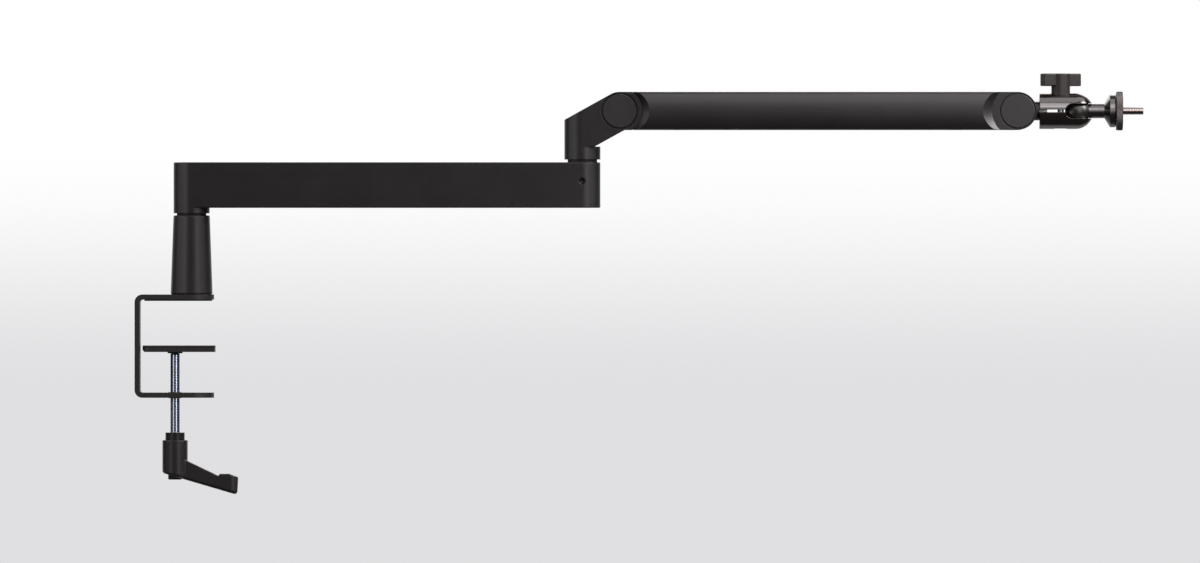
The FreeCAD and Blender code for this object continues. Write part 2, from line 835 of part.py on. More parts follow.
def beam_bar(start, end):
    """Bar with crowned sides and rounded long edges."""
    mid = beam_mid_width / 2
    edge = beam_edge_width / 2
    low = hinge_z - hinge_half_height
    high = hinge_z + hinge_half_height
    outline = Outline("YZ", -edge, low)
    outline.line(edge, low)
    outline.arc(mid, hinge_z, edge, high)
    outline.line(-edge, high)
    outline.arc(-mid, hinge_z, -edge, low)
    bar = outline.prism(ALONG, start, end)
    long_edges = []
    for item in bar.Edges:
        if item.BoundBox.XLength > (end - start) / 2:
            long_edges.append(item)
    return bar.makeFillet(beam_corner, long_edges)


def scoop(x, radius, flare):
    """Room turned about a hinge: straight across the middle, opening out towards both sides."""
    edge = beam_mid_width / 2
    wide = radius + flare
    straight = cheek_outer + part_gap
    outline = Outline("XZ", 0, -edge)
    outline.lines((wide, -edge), (radius, -straight), (radius, straight))
    outline.lines((wide, edge), (0, edge))
    room = outline.turned()
    room.Placement = FreeCAD.Placement(at(x, 0, hinge_z), FreeCAD.Rotation(UP, ACROSS))
    return room


def hinge_tongue():
    """Tongue of the beam in the elbow's fork."""
    half = tongue_thickness / 2
    disc = cylinder_y(2 * tongue_radius, hinge_x, hinge_z, -half, half)
    shank = block(hinge_x, hinge_x + elbow_scoop_radius + elbow_scoop_flare, -half, half,
                  hinge_z - tongue_radius, hinge_z + tongue_radius)
    return disc.fuse(shank)


def tip_fork():
    """Fork of the beam round the tip knuckle, open to the front, above and below."""
    reach = tip_scoop_radius + tip_scoop_flare
    cheeks = block(tip_x - reach, tip_x, -cheek_outer, cheek_outer,
                   hinge_z - hinge_half_height, hinge_z + hinge_half_height)
    cheeks = cheeks.fuse(cylinder_y(2 * hinge_half_height, tip_x, hinge_z, -cheek_outer, cheek_outer))
    room = cylinder_y(2 * slot_radius, tip_x, hinge_z, -cheek_inner, cheek_inner)
    ahead = block(tip_x - neck_diameter / 2 - part_gap, tip_x + hinge_half_height + part_gap,
                  -cheek_inner, cheek_inner, hinge_z - slot_radius, hinge_z + slot_radius)
    return cheeks.cut(room.fuse(ahead))


def upper_arm_beam():
    bar = beam_bar(hinge_x, tip_x)
    bar = bar.cut(scoop(hinge_x, elbow_scoop_radius, elbow_scoop_flare))
    bar = bar.cut(scoop(tip_x, tip_scoop_radius, tip_scoop_flare))
    beam = bar.fuse([hinge_tongue(), tip_fork()]).removeSplitter()
    half = beam_channel_width / 2
    channel = block(hinge_x + beam_channel_margin, tip_x - beam_channel_margin, -half, half,
                    hinge_z - hinge_half_height, hinge_z + hinge_half_height - beam_roof)
    return beam.cut(channel).cut(pin_space(tip_x)).cut(bush_hole(hinge_x))


def upper_cable_cover():
    start = hinge_x + beam_channel_margin + cable_mouth
    end = tip_x - beam_channel_margin - cable_mouth
    return channel_cover(start, end, beam_channel_width, hinge_z - hinge_half_height)


# Tip knuckle and ball head

def tip_knuckle():
    half = tongue_thickness / 2
    disc = cylinder_y(2 * tongue_radius, tip_x, hinge_z, -half, half)
    neck = cylinder_x(neck_diameter, hinge_z, tip_x + neck_root, head_x)
    knuckle = disc.fuse(neck).removeSplitter()
    stud_hole = cylinder_x(stud_diameter + 2 * press_fit, hinge_z, head_x - stud_grip, head_x)
    return knuckle.cut(bush_hole(tip_x)).cut(stud_hole)


def head_stud():
    return cylinder_x(stud_diameter, hinge_z, head_x - stud_grip, head_x + stud_grip)


def head_block():
    """Both jaws in one: a round bar with a domed end."""
    bar = cylinder_x(head_diameter, hinge_z, head_x, head_end_x)
    rim = []
    for edge in bar.Edges:
        if abs(edge.BoundBox.XMax - head_x) < 1e-6:
            rim.append(edge)
    bar = bar.makeFillet(head_rim, rim)
    dome = Part.makeSphere(head_radius, at(head_end_x, 0, hinge_z))
    return bar.fuse(dome).removeSplitter()


def ball_notch():
    """U notch through both sides, in which the stem swings."""
    radius = head_notch / 2
    far = head_end_x + head_radius
    outline = Outline("XZ", far, hinge_z - radius)
    outline.line(notch_x, hinge_z - radius)
    outline.arc(notch_x - radius, hinge_z, notch_x, hinge_z + radius)
    outline.line(far, hinge_z + radius)
    return outline.prism(ACROSS, -head_radius, head_radius)


def head_jaw(side):
    """One jaw: side is 1 for the upper and -1 for the lower."""
    inner = hinge_z + side * head_slot / 2
    outer = hinge_z + side * head_radius
    far = head_end_x + head_radius
    keep = block(head_x, far, -head_radius, head_radius, min(inner, outer), max(inner, outer))
    jaw = head_block().common(keep)
    jaw = jaw.cut(ball_notch())
    jaw = jaw.cut(Part.makeSphere(ball_diameter / 2 + seat_gap, at(ball_x, 0, hinge_z)))
    jaw = jaw.cut(cylinder_x(stud_diameter + 2 * press_fit, hinge_z, head_x, head_x + stud_grip))
    return jaw.cut(cylinder_z(knob_screw_diameter + 2 * running_fit, knob_x, head_bottom, head_top))


def head_upper_jaw():
    seat = cylinder_z(knob_hub_diameter + 2 * part_gap, knob_x, head_top - hub_seat_depth, head_top)
    return head_jaw(1).cut(seat)


def head_lower_jaw():
    recess = hexagon(knob_nut_flats + 2 * press_fit, at(knob_x, 0, head_bottom), UP, knob_nut_top - head_bottom)
    seat = cylinder_z(nut_seat_diameter, knob_x, head_bottom, head_bottom + nut_seat_depth)
    return head_jaw(-1).cut(recess).cut(seat)


def knob_nut():
    nut = hexagon(knob_nut_flats, at(knob_x, 0, knob_nut_bottom), UP, knob_nut_height)
    bore = knob_screw_diameter + 2 * running_fit
    return nut.cut(cylinder_z(bore, knob_x, knob_nut_bottom, knob_nut_top))


def head_knob():
    """T knob: round hub and a cross bar, turned as it stands in use."""
    bar = Part.makeBox(knob_bar_length, knob_bar_width, knob_bar_height,
                       at(-knob_bar_length / 2, -knob_bar_width / 2, 0))
    bar = bar.makeFillet(knob_bar_edge, bar.Edges)
    turn = FreeCAD.Rotation(UP, knob_angle)
    bar.Placement = FreeCAD.Placement(at(knob_x, 0, knob_bar_bottom), turn)
    hub = cylinder_z(knob_hub_diameter, knob_x, knob_hub_bottom, knob_top)
    hub = hub.makeFillet(knob_bar_edge, edges_at_height(hub, knob_top))
    knob = hub.fuse(bar).removeSplitter()
    hole_top = knob_top - knob_screw_cover
    return knob.cut(cylinder_z(knob_screw_diameter + 2 * press_fit, knob_x, knob_hub_bottom, hole_top))


def knob_screw():
    return cylinder_z(knob_screw_diameter, knob_x, knob_nut_bottom, knob_top - knob_screw_cover)


# Microphone stem

def ball_flat_x():
    return ball_x + math.sqrt((ball_diameter / 2) ** 2 - (stem_diameter / 2) ** 2)


def ball():
    flat = ball_flat_x()
    radius = ball_diameter / 2
    sphere = Part.makeSphere(radius, at(ball_x, 0, hinge_z))
    trim = block(flat, ball_x + radius, -radius, radius, hinge_z - radius, hinge_z + radius)
    bore_start = flat - stem_shank_grip - seat_gap
    bore = cylinder_x(stem_shank_diameter + 2 * running_fit, hinge_z, bore_start, flat)
    return sphere.cut(trim).cut(bore)


def mic_stem():
    """Shank, stem, cone and flange, turned about the stem's axis."""
    start = ball_flat_x() + seat_gap
    shank_start = ball_flat_x() - stem_shank_grip
    stem_radius = stem_diameter / 2
    flange_radius = flange_diameter / 2
    outline = Outline("XZ", 0, shank_start)
    outline.lines((stem_shank_diameter / 2, shank_start), (stem_shank_diameter / 2, start))
    outline.lines((stem_radius, start), (stem_radius, stem_end_x), (flange_radius, flange_x))
    outline.lines((flange_radius, flange_end_x - flange_edge), (flange_radius - flange_edge, flange_end_x))
    outline.line(0, flange_end_x)
    stem = outline.turned()
    stem.Placement = FreeCAD.Placement(at(0, 0, hinge_z), FreeCAD.Rotation(UP, ALONG))
    bore = relief_diameter() + 2 * press_fit
    return stem.cut(cylinder_x(bore, hinge_z, flange_end_x - thread_grip, flange_end_x))


def relief_diameter():
    """The stub behind the lock ring's outer face, a little thinner than the free thread."""
    return thread_diameter - thread_relief


def mic_thread_stud():
    free_start = ring_x + ring_thickness
    root = cylinder_x(relief_diameter(), hinge_z, flange_end_x - thread_grip, free_start)
    free = cylinder_x(thread_diameter, hinge_z, free_start, thread_end_x)
    ends = []
    for edge in free.Edges:
        if abs(edge.BoundBox.XMin - thread_end_x) < 1e-6:
            ends.append(edge)
    return root.fuse(free.makeChamfer(thread_chamfer, ends)).removeSplitter()


def lock_ring():
    ring = cylinder_x(ring_diameter, hinge_z, ring_x, ring_x + ring_thickness)
    rims = []
    for edge in ring.Edges:
        if edge.BoundBox.XLength < 1e-6:
            rims.append(edge)
    ring = ring.makeChamfer(flange_edge, rims)
    bore = relief_diameter() + 2 * running_fit
    return ring.cut(cylinder_x(bore, hinge_z, ring_x, ring_x + ring_thickness))


def all_parts():
    """Every node of the assembly by name."""
    return {
        "clamp_frame": clamp_frame(),
        "jaw_pad": jaw_pad(),
        "clamp_nut": clamp_nut(),
        "pressure_plate": pressure_plate(),
        "pressure_pad": pressure_pad(),
        "plate_swivel_cup": plate_swivel_cup(),
        "clamp_screw": clamp_screw(),
        "lever_insert": lever_insert(),
        "lever_handle": lever_handle(),
        "lever_screw": lever_screw(),
        "lever_spring": lever_spring(),
        "riser_column": riser_column(),
        "riser_bolt": riser_bolt(),
        "riser_spigot": riser_spigot(),
        "base_washer": base_washer(),
        "base_bush": base_bush(),
        "lower_arm_body": lower_arm_body(),
        "lower_cable_cover": lower_cable_cover(),
        "arm_grub_screw": arm_grub_screw(),
        "elbow_bush": elbow_bush(),
        "elbow_washer": elbow_washer(),
        "elbow_body": elbow_body(),
        "elbow_spigot": elbow_spigot(),
        "elbow_hinge_pin": hinge_pin(hinge_x),
        "elbow_hinge_nut": hinge_nut(hinge_x),
        "elbow_friction_washers": friction_washers(hinge_x),
        "elbow_hinge_bush": hinge_bush(hinge_x),
        "elbow_cap_front": hinge_cap(hinge_x, -1),
        "elbow_cap_rear": hinge_cap(hinge_x, 1),
        "upper_arm_beam": upper_arm_beam(),
        "upper_cable_cover": upper_cable_cover(),
        "tip_hinge_pin": hinge_pin(tip_x),
        "tip_hinge_nut": hinge_nut(tip_x),
        "tip_friction_washers": friction_washers(tip_x),
        "tip_hinge_bush": hinge_bush(tip_x),
        "tip_cap_front": hinge_cap(tip_x, -1),
        "tip_cap_rear": hinge_cap(tip_x, 1),
        "tip_knuckle": tip_knuckle(),
        "head_stud": head_stud(),
        "head_upper_jaw": head_upper_jaw(),
        "head_lower_jaw": head_lower_jaw(),
        "head_knob": head_knob(),
        "knob_screw": knob_screw(),
        "knob_nut": knob_nut(),
        "ball": ball(),
        "mic_stem": mic_stem(),
        "mic_thread_stud": mic_thread_stud(),
        "lock_ring": lock_ring(),
    }


os.makedirs("parts", exist_ok=True)
for name, shape in all_parts().items():
    if not shape.isValid():
        raise ValueError(name + " is not a valid solid")
    shape.exportStep(os.path.join("parts", name + ".step"))
    box = shape.BoundBox
    print(name, len(shape.Solids), round(shape.Volume, 1),
          [round(value, 1) for value in (box.XMin, box.XMax, box.YMin, box.YMax, box.ZMin, box.ZMax)])
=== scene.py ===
import json
import math
from collections import namedtuple

import bmesh
import bpy
from bpy.props import FloatProperty, FloatVectorProperty, IntProperty, PointerProperty
from mathutils import Matrix, Vector


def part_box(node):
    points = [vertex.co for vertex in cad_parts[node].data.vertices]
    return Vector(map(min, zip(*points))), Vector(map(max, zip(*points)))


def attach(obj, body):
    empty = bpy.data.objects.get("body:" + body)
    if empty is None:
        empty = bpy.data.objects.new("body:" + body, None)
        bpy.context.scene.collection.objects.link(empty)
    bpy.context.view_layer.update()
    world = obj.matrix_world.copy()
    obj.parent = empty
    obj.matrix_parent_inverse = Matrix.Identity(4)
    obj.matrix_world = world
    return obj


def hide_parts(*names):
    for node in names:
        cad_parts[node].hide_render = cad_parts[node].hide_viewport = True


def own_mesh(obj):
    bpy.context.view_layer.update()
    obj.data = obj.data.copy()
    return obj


bl_info = {
    "name": "Microphone boom arm",
    "version": (1, 0, 0),
    "blender": (4, 5, 0),
    "location": "3D View > Sidebar > Boom arm",
    "description": "Finishes, threads and small parts of a low desk-clamped microphone boom arm",
    "category": "Object",
}

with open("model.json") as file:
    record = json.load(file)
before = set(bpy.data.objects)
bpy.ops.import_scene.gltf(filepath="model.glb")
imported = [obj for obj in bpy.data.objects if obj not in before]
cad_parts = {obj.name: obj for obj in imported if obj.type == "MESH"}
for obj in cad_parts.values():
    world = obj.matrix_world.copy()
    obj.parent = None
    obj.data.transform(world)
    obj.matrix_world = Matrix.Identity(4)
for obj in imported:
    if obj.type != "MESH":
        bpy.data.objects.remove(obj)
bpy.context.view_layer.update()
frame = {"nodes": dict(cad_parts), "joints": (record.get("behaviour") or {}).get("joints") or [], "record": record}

MM = 0.001
TURN = 2 * math.pi
# A thread's flat root as a share of its pitch, and the corners in its profile
ROOT = 0.06
CORNERS = 4
# Chamfer at a screw's free end, in depths of its thread
LEAD = 1.5
# Heights in a thread, as shares of its depth, up to which its roots get full painted shade and from which they get
# none
ROOT_SHADE = (0.45, 0.85)
# A socket's cone: its depth as a share of the socket's, and its blunt point's radius as a share of the flats
CONE = 1.25
POINT = 0.1
# Slope of a knurl's flanks, and the rise that its flat crest takes off them
KNURL_SLOPE = 1.6
KNURL_CREST = 0.3
# Steps round a screw, a slip ring or the floor, one knurl of the lock ring and one of the lever screw's head
SCREW_STEPS = 48
RING_STEPS = 96
KNURL_STEPS = 6
HEAD_STEPS = 4
# Steps of a coil in one turn, and the sides of its wire
COIL_STEPS = 48
COIL_SIDES = 16
# Steps along a pad's round end and round one of its corners
ROUND_STEPS = 48
CORNER_STEPS = 12
# Distance within which points of a mesh become one
MERGE = 0.5e-6
# How far a rounded normal turns, as 1 less its cosine, where an edge begins to show and shows in full
EDGE_TURN = (0.02, 0.22)
# Distances at which the floor, and its part that throws light back, begin to fade and are gone, in radii
SEEN_FADE = (0.45, 0.98)
LIT_FADE = (0.86, 0.99)
# How far back a mirrored ray points, from 0 to 1, where gloss begins to show the background and shows it all
BEHIND = (0.55, 0.95)

# Place, point of aim and size of a soft light, in metres, and the angle over which it fans out, in degrees
Lamp = namedtuple("Lamp", "place aim size spread")
LAMPS = {
    "key": Lamp((0.95, -1.45, 1.30), (0.55, 0, 0.14), (2.2, 0.95), 180),
    "top": Lamp((1.00, -0.15, 1.30), (0.90, 0, 0.14), (1.8, 0.7), 180),
    "right": Lamp((1.20, -1.75, 0.30), (0.30, 0, 0.10), (0.65, 1.2), 180),
    "tip": Lamp((1.00, -0.14, 0.40), (0.63, 0, 0.14), (0.43, 0.43), 45),
    "front": Lamp((0.85, -0.60, 0.32), (0.62, 0, 0.14), (0.4, 0.4), 180),
    "left": Lamp((-1.15, -0.52, 0.60), (0.15, 0, 0.10), (1.5, 1.0), 180),
    "fill": Lamp((-1.15, -1.55, 0.25), (0.10, 0, 0.05), (0.7, 1.2), 180),
    "back": Lamp((0.35, 1.60, 1.00), (0.35, 0, 0.08), (2.2, 0.9), 180),
}


# Settings


def colour(name, description, red, green, blue):
    return FloatVectorProperty(name=name, description=description, subtype="COLOR", size=3,
                               min=0, max=1, default=(red, green, blue))


def length(name, description, millimetres):
    return FloatProperty(name=name, description=description, subtype="DISTANCE", unit="LENGTH",
                         default=millimetres * MM)


def share(name, description, value):
    return FloatProperty(name=name, description=description, subtype="FACTOR", min=0, max=1, default=value)


def brightness(name, description, value):
    return FloatProperty(name=name, description=description, min=0, default=value)


def power(name, description, watts):
    return FloatProperty(name=name, description=description, unit="POWER", min=0, default=watts)


def number(name, description, value):
    return IntProperty(name=name, description=description, min=1, default=value)


class FinishSettings(bpy.types.PropertyGroup):
    """Colours of the finishes and the scale of their grain."""

    arm: colour("Arms", "Satin black coat of the riser, arms and elbow", 0.0100, 0.0092, 0.0095)
    clamp: colour("Clamp", "Textured black coat of the clamp's plates", 0.016, 0.0145, 0.0138)
    lever: colour("Lever", "Black plastic of the ratchet lever", 0.0150, 0.0136, 0.0139)
    cap: colour("Caps", "Black plastic of the hinge caps and cable covers", 0.017, 0.0165, 0.017)
    washer: colour("Washers", "Dark slip rings of the swivels", 0.006, 0.006, 0.006)
    head: colour("Head", "Gloss black of the ball head's jaws", 0.0080, 0.0048, 0.0038)
    stem: colour("Stem", "Black of the ball and stem", 0.0075, 0.0058, 0.0056)
    knob: colour("Knob", "Black plastic of the tension knob", 0.0135, 0.0105, 0.0098)
    ring: colour("Lock ring", "Dark coated metal of the lock ring", 0.125, 0.112, 0.110)
    zinc: colour("Zinc", "Bright plated steel of the clamp screw", 0.63, 0.77, 0.95)
    stub: colour("Stub", "Bright steel of the microphone thread", 0.50, 0.455, 0.42)
    steel: colour("Steel", "Plain steel of the pins and spigots", 0.46, 0.46, 0.47)
    bronze: colour("Bronze", "Bearing bronze of the bushes", 0.42, 0.26, 0.10)
    rubber: colour("Rubber", "Black rubber of the clamp's pads", 0.011, 0.011, 0.011)
    wear: colour("Wear", "Tone of a coated edge where hands and tools rub it", 0.055, 0.053, 0.052)
    coat_grain: length("Coat grain", "Size of the grain in the satin coat", 0.35)
    peel: length("Orange peel", "Size of the waves in the clamp's textured coat", 1.1)
    mottle: length("Mottle", "Size of the slow changes of tone", 26)
    edge: length("Edge", "Radius that shading gives to sharp edges", 0.35)


class PartSettings(bpy.types.PropertyGroup):
    """Sizes of the threads, knurls, sockets, pads, spring and slip rings, and the lever's smoothing."""

    screw_pitch: length("Screw pitch", "Thread pitch of the clamp screw", 1.25)
    screw_flank: length("Screw flank", "Diameter half-way up the clamp screw's thread", 7.2)
    screw_thread: length("Screw thread", "Depth of the clamp screw's thread", 0.18)
    screw_crest: share("Screw crest", "Share of the clamp screw's pitch that is crest", 0.80)
    screw_tip: length("Screw tip", "Diameter of the screw's turned-down tip", 5.0)
    screw_seat: length("Screw seat", "Gap between the screw's shoulder and the foot's cup", 0.1)
    rivet_height: length("Rivet height", "Height of the peened head on the tip", 1.1)
    rivet_base: length("Rivet base", "Diameter of the peened head where it sits", 7.0)
    rivet_width: length("Rivet width", "Greatest diameter of the peened head", 7.4)
    rivet_top: length("Rivet top", "Diameter of the peened head's flat top", 6.0)
    rivet_edge: length("Rivet edge", "Height of the slope round the peened head's top", 0.3)
    stub_pitch: length("Stub pitch", "Thread pitch of the microphone stub", 1.27)
    stub_flank: length("Stub flank", "Diameter half-way up the stub's thread", 5.55)
    stub_thread: length("Stub thread", "Depth of the stub's thread", 0.32)
    stub_crest: share("Stub crest", "Share of the stub's pitch that is crest", 0.45)
    stub_neck: length("Stub neck", "Diameter of the stub's neck inside the lock ring", 5.2)
    knurl_count: number("Knurls", "Grooves round the lock ring", 116)
    knurl_depth: length("Knurl depth", "Depth of the lock ring's grooves", 0.18)
    ring_edge: length("Ring edge", "Chamfer of the lock ring", 0.5)
    ring_bore: length("Ring bore", "Diameter of the lock ring's bore", 5.3)
    small_pitch: length("Small pitch", "Thread pitch of the grub screw and the lever's screw", 0.8)
    small_thread: length("Small thread", "Depth of their threads", 0.4)
    small_crest: share("Small crest", "Share of their pitch that is crest", 0.3)
    grub_socket: length("Grub socket", "Width across flats of the grub screw's socket", 2.5)
    grub_depth: length("Grub depth", "Depth of the grub screw's socket", 2.0)
    grub_mouth: length("Grub mouth", "Width across flats of the socket's mouth", 2.8)
    grub_lip: length("Grub lip", "Depth of the socket's flared mouth", 0.25)
    lever_socket: length("Lever socket", "Width across flats of the lever screw's socket", 4.0)
    lever_depth: length("Lever depth", "Depth of the lever screw's socket", 2.4)
    lever_mouth: length("Lever mouth", "Width across flats of the socket's mouth", 4.4)
    lever_lip: length("Lever lip", "Depth of the socket's flared mouth", 0.32)
    lever_shank: length("Lever shank", "Diameter of the lever screw's shank", 5.0)
    lever_head: length("Lever head", "Height of the lever screw's head", 7.2)
    lever_edge: length("Lever edge", "Chamfer of the lever screw", 0.5)
    head_knurls: number("Head knurls", "Grooves round the lever screw's head", 60)
    head_knurl_depth: length("Head knurl depth", "Depth of those grooves", 0.24)
    pad_edge: length("Pad edge", "Rounding of the rubber pads", 0.35)
    pad_corner: length("Pad corner", "Radius of the foot pad's corners", 5.0)
    spring_wire: length("Spring wire", "Wire diameter of the lever's spring", 1.2)
    spring_turns: number("Spring turns", "Turns of the lever's spring", 3)
    spring_slack: length("Spring slack", "How much more the spring shortens than the lever lifts", 0.2)
    slip_bore: length("Slip ring bore", "Diameter of the slip rings' bore", 12.1)
    slip_edge: length("Slip ring edge", "Chamfer of the slip rings", 0.15)
    slip_gap: length("Slip ring gap", "Oil gap over each slip ring", 0.02)
    lever_cell: length("Lever cell", "Cell size with which the lever's corners are run together", 0.4)
    lever_passes: number("Lever passes", "Times that the moulded lever is smoothed", 4)


class StageSettings(bpy.types.PropertyGroup):
    """Camera, light, floor and background."""

    frame_width: length("Frame width", "Width of the picture at the arm", 933.6)
    aim_x: length("Aim along", "Point along the arm at the picture's middle", 317.7)
    aim_z: length("Aim height", "Height at the picture's middle", 15.1)
    distance: length("Distance", "Distance of the camera from the arm", 15000)
    floor_drop: length("Floor", "Height of the floor", -480)
    floor_radius: length("Floor radius", "Radius at which the floor fades out", 2600)
    lit_back: length("Lit place", "Distance behind the arm of the floor's part that throws light back", 1200)
    lit_radius: length("Lit radius", "Radius of the part of the floor that throws light back", 1200)
    floor_paper: share("Floor paper", "Share of the lamps' light on the floor that is seen", 0.35)
    floor_glow: brightness("Floor glow", "Brightness added to the floor for the camera", 0.72)
    fade_top: length("Fade top", "Height, at the arm, where the background is all white", 125)
    fade_bottom: length("Fade bottom", "Height, at the arm, where the background is all grey", -75)
    light: colour("Light", "Background above", 1, 1, 1)
    shade: colour("Shade", "Background below, and the floor", 0.745, 0.745, 0.759)
    ambient: brightness("Ambient", "Even light from all round", 0.12)
    mirror: brightness("Mirror", "Even light that gloss shows in front", 0.05)
    lamp: colour("Lamps", "Tint of the soft lights", 1.0, 0.935, 0.945)
    key: power("Key", "Soft light above the camera", 20)
    top: power("Top", "Soft light over the arm", 5.4)
    right: power("Right", "Soft light at the camera's right", 6)
    tip: power("Tip", "Soft light over the microphone's end", 0.8)
    front: power("Front", "Soft light before the microphone's end", 0.6)
    left: power("Left", "Soft light high at the left", 8.2)
    fill: power("Fill", "Soft light at the camera's left", 3.5)
    back: power("Back", "Soft light behind the arm", 9)


# Shader maths


class Value:
    """A socket that takes part in arithmetic: each operation adds a Math node."""

    def __init__(self, graph, socket):
        self.graph = graph
        self.socket = socket

    def output(self, name):
        """Another output of the same node."""
        return Value(self.graph, self.socket.node.outputs[name])

    def maths(self, operation, first, second):
        return self.graph.node("ShaderNodeMath", {"operation": operation}, {0: first, 1: second})

    def __add__(self, other):
        return self.maths("ADD", self, other)

    def __radd__(self, other):
        return self.maths("ADD", other, self)

    def __sub__(self, other):
        return self.maths("SUBTRACT", self, other)

    def __rsub__(self, other):
        return self.maths("SUBTRACT", other, self)

    def __mul__(self, other):
        return self.maths("MULTIPLY", self, other)

    def __rmul__(self, other):
        return self.maths("MULTIPLY", other, self)

    def __truediv__(self, other):
        return self.maths("DIVIDE", self, other)

    def __or__(self, other):
        """The larger of the two."""
        return self.maths("MAXIMUM", self, other)


class Graph:
    """The nodes of one material or of the world."""

    def __init__(self, tree):
        self.tree = tree
        tree.nodes.clear()

    def node(self, kind, settings=None, inputs=None, output=0):
        """Adds a node: its settings first, then the values or links of its sockets."""
        made = self.tree.nodes.new(kind)
        for name, value in (settings or {}).items():
            if name == "stops":
                self.set_stops(made.color_ramp, value)
            else:
                setattr(made, name, value)
        for name, value in (inputs or {}).items():
            if isinstance(value, Value):
                self.tree.links.new(value.socket, made.inputs[name])
            else:
                made.inputs[name].default_value = value
        return Value(self, made.outputs[output]) if made.outputs else None

    @staticmethod
    def set_stops(ramp, stops):
        while len(ramp.elements) < len(stops):
            ramp.elements.new(1)
        for element, (position, tone) in zip(ramp.elements, stops):
            element.position = position
            element.color = (tone, tone, tone, 1)

    def place(self, stretch=(1, 1, 1)):
        """A point of the piece in its own frame, in metres."""
        point = self.node("ShaderNodeTexCoord").output("Object")
        if stretch == (1, 1, 1):
            return point
        return self.node("ShaderNodeVectorMath", {"operation": "MULTIPLY"}, {0: point, 1: stretch})

    def noise(self, size, detail, stretch=(1, 1, 1)):
        """Cloudy values about 0.5, whose lumps are this large."""
        inputs = {"Vector": self.place(stretch), "Scale": 1 / size, "Detail": detail, "Roughness": 0.55}
        return self.node("ShaderNodeTexNoise", {}, inputs)

    def cells(self, size):
        """Distance to the nearest of many scattered points, from 0 at a point."""
        return self.node("ShaderNodeTexVoronoi", {}, {"Vector": self.place(), "Scale": 1 / size})

    def far(self, point):
        """Distance from a fixed point of the piece's own frame, in metres."""
        inputs = {0: self.place(), 1: point}
        return self.node("ShaderNodeVectorMath", {"operation": "DISTANCE"}, inputs, "Value")

    def off_axis(self, centre):
        """Distance from the upright axis through a fixed point, in metres."""
        away = self.node("ShaderNodeVectorMath", {"operation": "SUBTRACT"}, {0: self.place(), 1: centre})
        level = self.node("ShaderNodeVectorMath", {"operation": "MULTIPLY"}, {0: away, 1: (1, 1, 0)})
        return self.node("ShaderNodeVectorMath", {"operation": "LENGTH"}, {0: level}, "Value")

    def ramp(self, value, *stops):
        """A grey that runs through stops of position and tone."""
        return self.node("ShaderNodeValToRGB", {"stops": stops}, {"Fac": value})

    def fading(self, value, limits):
        """From 0 at the first limit to 1 at the second."""
        return self.ramp(value, (limits[0], 0), (limits[1], 1))

    def mix(self, share, first, second):
        """Between two colours."""
        return self.node("ShaderNodeMix", {"data_type": "RGBA"}, {0: share, 6: first, 7: second}, 2)

    def rounded(self, radius):
        """Normal that runs round sharp edges."""
        return self.node("ShaderNodeBevel", {"samples": 4}, {"Radius": radius})

    def edges(self, radius):
        """1 along sharp outer edges and corners, 0 on open faces."""
        plain = self.node("ShaderNodeNewGeometry").output("Normal")
        inputs = {0: self.rounded(radius), 1: plain}
        facing = self.node("ShaderNodeVectorMath", {"operation": "DOT_PRODUCT"}, inputs, "Value")
        return self.fading(1 - facing, EDGE_TURN)

    def bump(self, height, depth, normal=None, strength=1.0):
        """Normal of a relief whose height value of 1 stands this far out."""
        inputs = {"Height": height, "Distance": depth, "Strength": strength}
        if normal:
            inputs["Normal"] = normal
        return self.node("ShaderNodeBump", {}, inputs)

    def surface(self, **sockets):
        """The principled surface, with constants set on its sockets and the rest linked."""
        inputs = {name.replace("_", " "): value for name, value in sockets.items()}
        shader = self.node("ShaderNodeBsdfPrincipled", {}, inputs)
        self.node("ShaderNodeOutputMaterial", {}, {"Surface": shader})


def finish(name):
    """An empty material and the graph of its nodes."""
    material = bpy.data.materials.new(name)
    material.use_nodes = True
    return material, Graph(material.node_tree)


def rgba(tone, gain=1.0):
    """A colour for a socket, made brighter or darker."""
    return (tone[0] * gain, tone[1] * gain, tone[2] * gain, 1)


# Finishes


def satin_coat(settings):
    """Fine-grained satin black on the aluminium arms, riser and elbow."""
    material, graph = finish("satin_black_coat")
    grain = graph.noise(settings.coat_grain, detail=3)
    mottle = graph.noise(settings.mottle, detail=4)
    draw = graph.noise(settings.mottle, detail=2, stretch=(0.08, 1, 9))
    edge = graph.edges(settings.edge)
    rub = edge * graph.ramp(graph.noise(settings.mottle / 4, detail=3), (0.42, 0.15), (0.68, 1))
    tone = graph.mix(grain * 0.5 + mottle * 0.5, rgba(settings.arm, 0.72), rgba(settings.arm, 1.3))
    tone = graph.mix(rub * 0.5, tone, rgba(settings.wear))
    roughness = 0.40 + 0.16 * (grain - 0.5) + 0.10 * (mottle - 0.5) + 0.05 * (draw - 0.5)
    relief = graph.bump(grain, depth=0.012 * MM, normal=graph.rounded(settings.edge), strength=0.7)
    graph.surface(Base_Color=tone, Roughness=roughness, Normal=relief, IOR=1.5)
    return material


def textured_coat(settings):
    """Powder coat of the clamp, with the low waves of its orange peel."""
    material, graph = finish("textured_black_coat")
    peel = graph.noise(settings.peel, detail=2)
    grain = graph.noise(settings.coat_grain, detail=3)
    mottle = graph.noise(settings.mottle, detail=3)
    edge = graph.edges(settings.edge)
    rub = edge * graph.ramp(graph.noise(settings.mottle / 5, detail=3), (0.40, 0.2), (0.66, 1))
    tone = graph.mix(peel * 0.6 + mottle * 0.4, rgba(settings.clamp, 0.7), rgba(settings.clamp, 1.3))
    tone = graph.mix(rub * 0.35, tone, rgba(settings.wear))
    roughness = 0.46 + 0.14 * (grain - 0.5) + 0.10 * (mottle - 0.5)
    height = peel * 0.8 + grain * 0.2
    relief = graph.bump(height, depth=0.03 * MM, normal=graph.rounded(settings.edge), strength=0.7)
    graph.surface(Base_Color=tone, Roughness=roughness, Normal=relief, IOR=1.5)
    return material


